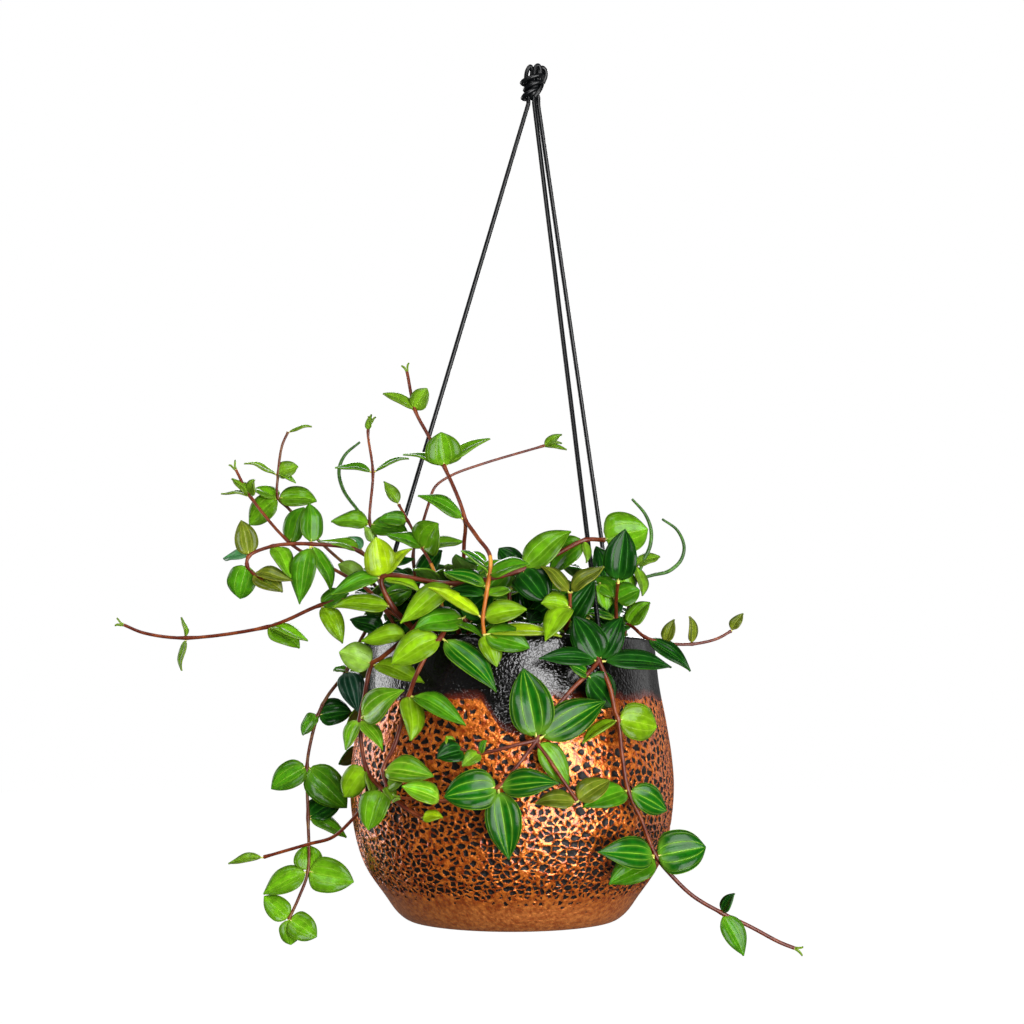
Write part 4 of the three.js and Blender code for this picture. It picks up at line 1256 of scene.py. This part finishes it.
@dataclass
class LeafPattern:
    """One flat leaf blade, modelled once and copied for each leaf."""

    columns: int = 8
    rows: int = 16
    petiole: float = 0.085
    thickness: float = 0.9
    fold: float = 0.2
    puff: float = 0.12
    arch: float = 0.07
    fullness: float = 1.06
    slender: Row = (
        0.16, 0.52, 0.73, 0.87, 0.95, 0.99, 1.0, 0.985, 0.955, 0.9, 0.82, 0.72, 0.59, 0.45, 0.3, 0.15, 0.015,
    )
    broad: Row = (
        0.34, 0.68, 0.86, 0.95, 0.99, 1.0, 0.998, 0.985, 0.965, 0.93, 0.885, 0.82, 0.735, 0.62, 0.465,
        0.26, 0.02,
    )
    flat: Piece | None = None
    count: int = 0

    def model(self) -> None:
        """Models the flat blade with its map and its empty tones."""
        deselect()
        bpy.ops.mesh.primitive_grid_add(x_subdivisions=self.columns, y_subdivisions=self.rows, size=2)
        self.flat = bpy.context.object
        mesh = self.flat.data
        mesh.uv_layers[0].name = "blade"
        mesh.color_attributes.new("blade_tone", "FLOAT_COLOR", "POINT")
        mesh.color_attributes.new("vein_tone", "FLOAT_COLOR", "POINT")
        mesh.attributes.new("vein_strength", "FLOAT", "POINT")

    def copy(self, leaf: Leaf) -> Piece:
        """Copies the blade to a leaf's place and shapes the copy.

        Args:
            leaf: Leaf that the copy stands for.

        Returns:
            The shaped copy.
        """
        self.count += 1
        blade = own_copy(self.flat)
        along = leaf.tip - leaf.base
        length = along.length
        along.normalize()
        across = along.cross(leaf.normal).normalized()
        phase = self.count * 2.4
        twist = 0.16 * math.sin(phase * 1.7)
        wave = 0.05 + 0.04 * math.sin(phase * 0.9)
        curl = 0.03 * math.sin(phase * 1.3)
        round_share = min(1.0, max(0.0, (leaf.width / length - 0.42) / 0.33))
        start = (self.petiole - 0.05 * round_share) * length
        reach = length - start
        outline = [thin + (wide - thin) * round_share for thin, wide in zip(self.slender, self.broad)]
        for vertex in blade.data.vertices:
            s, t = vertex.co.x, (vertex.co.y + 1) / 2
            row = min(int(t * self.rows), self.rows - 1)
            half = outline[row] + (outline[row + 1] - outline[row]) * (t * self.rows - row)
            half *= leaf.width / 2 * self.fullness
            at = start + t * reach
            rise = self.arch * length * math.sin(math.pi * at / length)
            rise += half * (self.fold * abs(s) + self.puff * math.sin(math.pi * abs(s)))
            rise += half * wave * s * s * math.sin(7.5 * t + phase + (1.4 if s > 0 else 0))
            rise += curl * length * math.sin(2 * math.pi * t)
            turn = twist * (t - 0.4)
            side = s * half
            point = leaf.base + along * at
            point = point + across * (side * math.cos(turn) - rise * math.sin(turn))
            point = point + leaf.normal * (rise * math.cos(turn) + side * math.sin(turn))
            vertex.co = placed(point)
        blade_code, vein_code, strength = leaf.tone.value
        total = len(blade.data.vertices)
        shade = 1 + 0.14 * math.sin(phase * 2.3)
        tint = [channel * shade for channel in linear(blade_code)[:3]] + [1.0]
        blade.data.attributes["blade_tone"].data.foreach_set("color", tint * total)
        blade.data.attributes["vein_tone"].data.foreach_set("color", linear(vein_code) * total)
        blade.data.attributes["vein_strength"].data.foreach_set("value", [strength] * total)
        return blade


@dataclass
class Foliage:
    """The plant: its stems, petioles, leaves, buds and flower spikes, one piece for each CAD node."""

    growth: Growth = field(default_factory=Growth)
    pattern: LeafPattern = field(default_factory=LeafPattern)
    skins: tuple[LeafSkin, LeafSkin] = (LeafSkin(), LeafSkin(name="waxy_leaf_underside", under=True))
    ripe_below: float = 192.0

    def stem_lines(self, shoot: Shoot) -> Line:
        """Rounds a stem's route and swells it a little at its joints.

        Args:
            shoot: Stem to sweep.

        Returns:
            The points of the stem and their radii.
        """
        points = smooth_points(shoot.whole_route(), 6)
        joints = [shoot.route[0], *(leaf.base for leaf in shoot.leaves)]
        radii = []
        for order, point in enumerate(points):
            share = order / (len(points) - 1)
            radius = shoot.side * (0.54 - 0.12 * share)
            if shoot.bark is Bark.SPIKE:
                radius = shoot.side * (0.3 + 0.24 * math.sin(math.pi * min(1.0, 0.15 + 0.8 * share)))
            elif any((joint - point).length < 1.2 for joint in joints):
                radius *= 1.28
            radii.append(radius)
        return points, radii

    def petiole_line(self, leaf: Leaf) -> Line:
        """Joins a leaf to its stem.

        Args:
            leaf: Leaf that the petiole carries.

        Returns:
            The points of the petiole and their radii.
        """
        along = (leaf.tip - leaf.base).normalized()
        length = (leaf.tip - leaf.base).length
        thick = 0.3 + 0.03 * leaf.width
        points = []
        for share in (-0.01, 0.03, 0.07, self.pattern.petiole + 0.04):
            rise = self.pattern.arch * length * math.sin(math.pi * max(share, 0)) - 0.45
            points.append(leaf.base + along * (share * length) + leaf.normal * rise)
        return points, [thick * 1.3, thick, thick * 0.9, thick * 0.5]

    def bud_leaves(self, shoot: Shoot) -> list[Leaf]:
        """Closes a growing tip with a pair of young leaves.

        Args:
            shoot: Stem that ends in a bud.

        Returns:
            The two leaves, or none where the stem ends in a full leaf or is a spike.
        """
        before, last = shoot.route[-2:]
        if shoot.bark is Bark.SPIKE or any(leaf.base == last for leaf in shoot.leaves):
            return []
        along = (last - before).normalized()
        side = along.cross(Vector((0, -1, 0.3))).normalized()
        buds = []
        for sign, length, spread in ((1, 5.6, 1.7), (-1, 4.8, 1.9)):
            tip = last + along * length + side * (sign * spread)
            normal = squared((tip - last).normalized(), side * -sign)
            buds.append(Leaf(last, tip, 1.9, normal, OLIVE))
        return buds

    def stem(self, name: str, shoot: Shoot) -> Piece:
        """Sweeps a stem, whose ripe orange gives way to red above its last joint.

        Args:
            name: Name of the stem.
            shoot: Stem to sweep.

        Returns:
            The stem with its skin.
        """
        stem = round_tubes(name, [self.stem_lines(shoot)], 2)
        StemSkin(*shoot.bark.value).dress(stem)
        if shoot.bark is Bark.ORANGE:
            StemSkin(*Bark.RED.value).dress(stem)
            joint = placed(Vector((0, 0, self.ripe_below))).z
            for face in stem.data.polygons:
                face.material_index = int(face.center.z > joint)
        return stem

    def build_piece(self, name: str, shoots: Sequence[Shoot]) -> None:
        """Models the piece that stands for one CAD node.

        Args:
            name: Name of the CAD node.
            shoots: Stems of the piece.
        """
        leaves = [leaf for shoot in shoots for leaf in (*shoot.leaves, *self.bud_leaves(shoot))]
        parts = []
        if leaves:
            blades = join([self.pattern.copy(leaf) for leaf in leaves], f"{name}_blades")
            for skin in self.skins:
                skin.dress(blades)
            thickness = self.pattern.thickness * MILLIMETRE
            sides = {"material_offset": 1, "material_offset_rim": 0}
            apply_modifier(blades, "SOLIDIFY", thickness=thickness, offset=-1.0, **sides)
            blades.data.polygons.foreach_set("use_smooth", [True] * len(blades.data.polygons))
            petioles = round_tubes(f"{name}_petioles", [self.petiole_line(leaf) for leaf in leaves], 1)
            StemSkin(*Bark.PETIOLE.value).dress(petioles)
            parts += [blades, petioles]
        parts += [self.stem(f"{name}_stem", shoot) for shoot in shoots]
        hand_over(join(parts, f"{name}_grown"), name)

    def build(self) -> None:
        """Models all pieces of the plant."""
        self.pattern.model()
        for name, shoots in self.growth.grow().items():
            self.build_piece(name, shoots)
        bpy.data.objects.remove(self.pattern.flat)


@dataclass
class Cords:
    """The three cords that the pot hangs by, and the knot inside the wall that ends each one."""

    finish: WaxedCord = WaxedCord()
    stopper_reach: float = 3.0
    stopper_depth: float = 1.5
    stopper_back: float = 4.0
    stopper_steps: int = 48
    pieces: dict[str, tuple[Piece, Piece]] = field(default_factory=dict)

    def stopper(self, name: str, route: Sequence[Vector]) -> Piece:
        """Ties the overhand knot that keeps a cord from pulling out.

        Args:
            name: Name of the CAD node.
            route: Points of the cord, from the knot outwards.

        Returns:
            The knot.
        """
        outward = (route[2] - route[0]).normalized()
        centre = route[0] - outward * self.stopper_back
        turn = outward.to_track_quat("Z", "Y")
        points = []
        for step in range(self.stopper_steps + 1):
            angle = 2 * math.pi * step / self.stopper_steps
            reach = 0.72 * self.stopper_reach * (1 + 0.42 * math.cos(3 * angle))
            across, up = reach * math.cos(2 * angle), reach * math.sin(2 * angle)
            deep = self.stopper_depth * math.sin(3 * angle)
            points.append(centre + turn @ Vector((across, up, deep)))
        return round_tubes(f"{name}_tied", [(points, [CORD_DIAMETER / 2] * len(points))], 3)

    def build(self) -> None:
        """Models the cords and their stopper knots, before everything else."""
        for name, places in CORD_ROUTES.items():
            route = [Vector(place) for place in places]
            stopper_name = name.replace("cord", "stopper")
            points = smooth_points(route, 4)
            cord = laid_tubes(f"{name}_laid", [(points, [1.0] * len(points))], CORD_DIAMETER / 2, 5)
            stopper = self.stopper(stopper_name, route)
            for piece, node in ((cord, name), (stopper, stopper_name)):
                self.finish.dress(piece)
                hand_over(piece, node)
            self.pieces[name] = (cord, stopper)


@dataclass
class TopKnot:
    """The knot that gathers the three cords, with short doubled loops above it."""

    centre: Row = (12.2, 0.0, 475.6)
    reach: Row = (4.3, 3.3, 8.0)
    wraps: tuple[Row, ...] = (
        (10.9, 471.9, 4.6, 3.9, 26, 80), (12.5, 476.2, 5.0, 4.1, 20, 40), (11.9, 480.2, 6.1, 4.0, 16, 0),
    )
    loops: tuple[tuple[Row, ...], ...] = (
        (
            (8.3, -0.4, 478), (8.4, -0.6, 483), (9.3, -0.6, 486.6), (10.8, -0.4, 488.4), (11.7, 0, 486.6),
            (11.4, 0.3, 481),
        ),
        (
            (12.6, -1.6, 479), (13.1, -1.9, 484), (14.0, -1.8, 487.6), (15.4, -1.4, 488.6),
            (16.6, -0.8, 486.4), (16.2, 0, 480),
        ),
        (
            (14.6, -0.2, 480), (16.0, -0.6, 484.6), (17.4, -0.4, 487.6), (19.1, 0.4, 487.2),
            (19.9, 1.2, 484), (18.2, 1.6, 479),
        ),
        (
            (16.8, 0.8, 480.5), (17.5, -0.8, 477.4), (16.9, -1.8, 474.6), (15.2, -2.3, 471.6),
            (13.2, -2.0, 469.4),
        ),
        ((13.2, 2.4, 479), (14.0, 2.8, 485), (15.6, 2.6, 488), (17.3, 2.4, 486), (17.4, 2.2, 480)),
    )
    wrap_steps: int = 28
    wrap_turn: float = 14.0
    wrap_rise: float = 1.8

    def wrap(self, x: float, z: float, wide: float, deep: float, tilt: float, start: float) -> list[Vector]:
        """Winds one turn of cord round the knot.

        Args:
            x: Place of the turn's middle.
            z: Height of the turn's middle.
            wide: Reach across.
            deep: Reach from front to back.
            tilt: Slope of the turn across, in degrees.
            start: Angle at which it starts.

        Returns:
            The points of the turn.
        """
        slope = math.tan(math.radians(tilt))
        points = []
        for step in range(self.wrap_steps + 1):
            angle = math.radians(start + step * self.wrap_turn)
            out = wide * math.cos(angle)
            rise = slope * out + self.wrap_rise * (step / self.wrap_steps - 0.5)
            points.append(Vector((x + out, deep * math.sin(angle), z + rise)))
        return points

    def filling(self) -> Piece:
        """Fills the middle of the knot, where the strands pass through it.

        Returns:
            The filling.
        """
        deselect()
        bpy.ops.mesh.primitive_ico_sphere_add(subdivisions=3, radius=MILLIMETRE)
        edit_all()
        bpy.ops.transform.resize(value=self.reach)
        bpy.ops.transform.translate(value=placed(Vector(self.centre)))
        bpy.ops.object.mode_set(mode="OBJECT")
        return bpy.context.object

    def build(self) -> Piece:
        """Ties the knot.

        Returns:
            The knot as one piece.
        """
        lines = [self.wrap(*turn) for turn in self.wraps]
        lines += [smooth_points([Vector(point) for point in loop], 6) for loop in self.loops]
        middle = self.centre[0]
        for x, y, z in (route[-1] for route in CORD_ROUTES.values()):
            gathered = (middle + 0.6 * (x - middle), 0, z + 9)
            lines.append([Vector((x, y, z + 0.2)), Vector((x, y * 0.8, z + 4)), Vector(gathered)])
        radii = [[CORD_DIAMETER / 2] * len(line) for line in lines]
        strands = round_tubes("top_knot_strands", zip(lines, radii), 4)
        knot = join([strands, self.filling()], "top_knot_tied")
        knot.data.polygons.foreach_set("use_smooth", [True] * len(knot.data.polygons))
        WaxedCord().dress(knot)
        hand_over(knot, "top_knot")
        return knot


@dataclass
class GlazedPot:
    """The thrown pot, spun from its profile, with its three cord holes."""

    turns: int = 512
    grain: float = 1.05
    pitted: tuple[float, float] = (10.0, 132.0)
    hole_radius: float = 2.2
    hole_depth: float = 26.0
    hole_place: tuple[float, float] = (80.2, 142.8)
    hole_slope: float = 40.0
    hole_inset: float = 5.0
    hole_angles: tuple[float, ...] = (180, -56, 40)
    sharp: float = 40.0
    outer: tuple[Row, ...] = (
        (0, 0.9), (52, 0.8), (54.5, 0.1), (57.5, 0.1), (63, 4), (69.7, 12.9), (80.9, 29.1), (87, 48),
        (89.5, 69.5), (88.7, 86.5), (85.6, 107.4), (82.1, 126.3), (80, 146), (79.3, 150.2), (77.9, 151.8),
        (76.2, 152.1),
    )
    inner: tuple[Row, ...] = (
        (76.2, 152.1), (74.6, 151.6), (73.9, 150), (75.5, 140), (80.2, 107.4), (84.1, 69.5), (75.5, 29.1),
        (62, 17), (50, 7), (0, 7),
    )
    finish: CopperGlaze = CopperGlaze()

    def profile(self) -> list[Vector]:
        """Rounds the wall's outline, finely where the glaze is pitted.

        Returns:
            Points of the half section, from the foot's middle out and back in.
        """
        sides = (self.outer, self.inner)
        outer, inner = (smooth_points([Vector((reach, 0, z)) for reach, z in side], 4) for side in sides)
        outline = outer[:1]
        low, high = self.pitted
        for before, after in zip(outer, outer[1:]):
            fine = max(1, round((after - before).length / self.grain)) if low < after.z < high else 1
            outline += [before.lerp(after, (step + 1) / fine) for step in range(fine)]
        outline += inner[1::2]
        outline[0].x = outline[-1].x = 0.0
        return outline

    def build(self) -> None:
        """Spins the pot, drills it and sinks its pits."""
        points = self.profile()
        deselect()
        bpy.ops.mesh.primitive_plane_add(size=MILLIMETRE, location=placed(points[0]))
        pot = bake_place()
        edit_all()
        bpy.ops.mesh.merge(type="CENTER")
        for start, end in zip(points, points[1:]):
            bpy.ops.mesh.extrude_region_move(TRANSFORM_OT_translate={"value": placed(end) - placed(start)})
        bpy.ops.mesh.select_all(action="SELECT")
        middle = placed(Vector((0, 0, 0)))
        whole = {"steps": self.turns, "angle": 2 * math.pi, "use_auto_merge": True}
        bpy.ops.mesh.spin(center=middle, axis=(0, 0, 1), **whole)
        bpy.ops.mesh.select_all(action="SELECT")
        bpy.ops.mesh.remove_doubles(threshold=1e-6)
        bpy.ops.mesh.normals_make_consistent(inside=False)
        bpy.ops.object.mode_set(mode="OBJECT")
        for angle in self.hole_angles:
            self.drill(pot, angle)
        apply_modifier(pot, "NODES", node_group=self.finish.sink())
        make_active(pot)
        bpy.ops.object.shade_smooth_by_angle(angle=math.radians(self.sharp))
        pot.data.materials.clear()
        self.finish.dress(pot)
        hand_over(join([pot], "pot_glazed"), "pot")

    def drill(self, pot: Piece, angle: float) -> None:
        """Cuts one slanted cord hole.

        Args:
            pot: Pot to drill.
            angle: Azimuth of the hole, in degrees.
        """
        radius, height = self.hole_place
        heading, slope = math.radians(angle), math.radians(self.hole_slope)
        reach = radius - self.hole_inset * math.cos(slope)
        height -= self.hole_inset * math.sin(slope)
        middle = Vector((reach * math.cos(heading), reach * math.sin(heading), height))
        deselect()
        bpy.ops.mesh.primitive_cylinder_add(
            vertices=32,
            radius=self.hole_radius * MILLIMETRE,
            depth=self.hole_depth * MILLIMETRE,
            location=placed(middle),
            rotation=(0, math.pi / 2 - slope, heading),
        )
        drill = bpy.context.object
        apply_modifier(pot, "BOOLEAN", operation="DIFFERENCE", object=drill, solver="EXACT")
        bpy.data.objects.remove(drill)


@dataclass
class Soil:
    """The potting mix that the stems are rooted in, uneven and crumbly on top."""

    radius: float = 75.4
    depth: float = 14.0
    bumpiness: float = 2.2
    crumbs: int = 520
    sharp: float = 50.0
    draw: Draw = field(default_factory=lambda: Draw(977))

    def height(self, x: float, y: float) -> float:
        """Gives the height of the uneven top.

        Args:
            x: Place across.
            y: Place from front to back.

        Returns:
            Height above the pot's foot.
        """
        swell = math.sin(x * 0.13 + 0.7) * math.cos(y * 0.11) + 0.6 * math.sin(x * 0.31 + y * 0.27)
        rough = math.sin(x * 1.3 + math.sin(y * 0.9) * 2) * math.cos(y * 1.1 + math.sin(x * 0.7) * 2)
        return SOIL_TOP - 0.6 + self.bumpiness * (0.22 * swell + 0.2 * rough)

    def build(self) -> None:
        """Models the soil and its crumbs."""
        deselect()
        size = {"vertices": 96, "radius": self.radius * MILLIMETRE, "fill_type": "TRIFAN"}
        bpy.ops.mesh.primitive_circle_add(location=placed(Vector((0, 0, SOIL_TOP))), **size)
        top = bake_place()
        edit_all()
        bpy.ops.mesh.subdivide(number_cuts=10, quadcorner="INNERVERT")
        bpy.ops.object.mode_set(mode="OBJECT")
        for vertex in top.data.vertices:
            x, y = vertex.co.x / MILLIMETRE + HANG_X, vertex.co.y / MILLIMETRE
            vertex.co = placed(Vector((x, y, self.height(x, y))))
        edit_all()
        bpy.ops.mesh.extrude_region_move(TRANSFORM_OT_translate={"value": (0, 0, -self.depth * MILLIMETRE)})
        bpy.ops.mesh.select_all(action="SELECT")
        bpy.ops.mesh.normals_make_consistent(inside=False)
        bpy.ops.object.mode_set(mode="OBJECT")
        soil = join([top, *self.crumb_pieces()], "soil_filled")
        make_active(soil)
        bpy.ops.object.shade_smooth_by_angle(angle=math.radians(self.sharp))
        PottingMix().dress(soil)
        hand_over(soil, "soil")

    def crumb_pieces(self) -> list[Piece]:
        """Scatters crumbs of bark and peat over the top.

        Returns:
            The crumbs, each with its own mesh.
        """
        deselect()
        bpy.ops.mesh.primitive_ico_sphere_add(subdivisions=1, radius=MILLIMETRE)
        first = bpy.context.object
        draw = self.draw.between
        crumbs = []
        for _ in range(self.crumbs):
            reach, angle = (self.radius - 2) * math.sqrt(draw()), 2 * math.pi * draw()
            x, y = reach * math.cos(angle), reach * math.sin(angle)
            size = 0.5 + 1.3 * draw() ** 2
            crumb = own_copy(first)
            turn = Matrix.Rotation(6.3 * draw(), 4, "Z") @ Matrix.Rotation(0.8 * draw(), 4, "X")
            stretch = Matrix.Diagonal((size * (1 + draw()), size, size * 0.7, 1))
            place = Matrix.Translation(placed(Vector((x, y, self.height(x, y) + 0.2 * size))))
            crumb.data.transform(place @ turn @ stretch)
            crumbs.append(crumb)
        bpy.data.objects.remove(first)
        return crumbs


@dataclass(frozen=True)
class Softbox:
    """A softbox that faces the pot, at an angle to the right of the camera and a height over the pot."""

    name: str
    azimuth: float
    height: float
    size: tuple[float, float]
    power: float
    glossy: bool = True
    diffuse: bool = True
    distance: float = 1.5

    def stand(self) -> None:
        """Stands the softbox and turns it to the pot."""
        data = bpy.data.lights.new(self.name, "AREA")
        data.shape = "RECTANGLE"
        data.size, data.size_y = self.size
        data.energy = self.power
        light = bpy.data.objects.new(self.name, data)
        bpy.context.collection.objects.link(light)
        heading = math.radians(self.azimuth)
        target = placed(Vector((0, 0, 120)))
        away = Vector((self.distance * math.sin(heading), -self.distance * math.cos(heading), self.height))
        light.location = target + away
        light.rotation_euler = (target - light.location).to_track_quat("-Z", "Y").to_euler()
        light.visible_camera = False
        light.visible_glossy = self.glossy
        light.visible_diffuse = self.diffuse


@dataclass
class Studio:
    """Camera, soft lights, white surroundings and the pale floor far below the hanging pot."""

    view: PictureView = field(default_factory=PictureView)
    softboxes: tuple[Softbox, ...] = (
        Softbox("softbox_right", 30, -0.05, (1.2, 1.5), 52),
        Softbox("softbox_right_glint", 30, -0.05, (1.2, 1.5), 36, diffuse=False),
        Softbox("softbox_above", -15, 1.6, (1.2, 0.9), 18),
        Softbox("fill_left", -62, 0.5, (0.8, 0.8), 13, glossy=False),
        Softbox("rim_left", -118, 0.1, (0.7, 1.5), 13),
        Softbox("rim_right", 118, 0.1, (0.7, 1.5), 2),
        Softbox("softbox_back", 180, 0.7, (1.0, 1.0), 20),
    )
    sensor: float = 36.0
    surroundings: float = 0.1
    floor_below: float = 1.5
    floor_reach: float = 30.0

    def place_camera(self) -> None:
        """Sets the camera where the picture was taken from."""
        view = self.view
        camera_data = bpy.data.cameras.new("camera")
        camera_data.sensor_width = self.sensor
        camera_data.lens = self.sensor * view.focal / (2 * view.centre)
        camera = bpy.data.objects.new("camera", camera_data)
        bpy.context.collection.objects.link(camera)
        camera.location = placed(Vector((0, -view.distance, view.height)))
        camera.rotation_euler = (math.pi / 2 + view.tilt, 0, 0)
        bpy.context.scene.camera = camera

    def surround(self) -> None:
        """Shows white surroundings to the camera, and lights the pot with a little of them."""
        scene = bpy.context.scene
        scene.view_settings.view_transform = "Standard"
        scene.view_settings.look = "None"
        scene.world = bpy.data.worlds.new("white_surroundings")
        scene.world.use_nodes = True
        add = partial(add_node, scene.world.node_tree)
        white = (1.0, 1.0, 1.0, 1.0)
        shown = add("ShaderNodeBackground", [white, 1.0])
        lit = add("ShaderNodeBackground", [white, self.surroundings])
        ray = add("ShaderNodeLightPath").outputs["Is Camera Ray"]
        add("World Output", {"Surface": add("ShaderNodeMixShader", [ray, lit, shown])})

    def build(self) -> None:
        """Sets the lights, the surroundings and the floor."""
        for softbox in self.softboxes:
            softbox.stand()
        self.surround()
        deselect()
        below = placed(Vector((0, 0, 0))) - Vector((0, 0, self.floor_below))
        size = {"vertices": 96, "radius": self.floor_reach, "fill_type": "NGON"}
        bpy.ops.mesh.primitive_circle_add(location=below, **size)
        floor = bake_place()
        floor.name = "studio_floor"
        BacklitAcrylic().dress(floor)
        floor.visible_diffuse = False
        floor.visible_glossy = False
        log.info("studio set")


def main() -> None:
    """Builds the scene, the camera and the cords first."""
    logging.basicConfig(level=logging.INFO, format="%(name)s %(message)s")
    studio = Studio()
    studio.place_camera()
    cords = Cords()
    cords.build()
    TopKnot().build()
    GlazedPot().build()
    Soil().build()
    Foliage().build()
    studio.build()


if __name__ == "__main__":
    main()
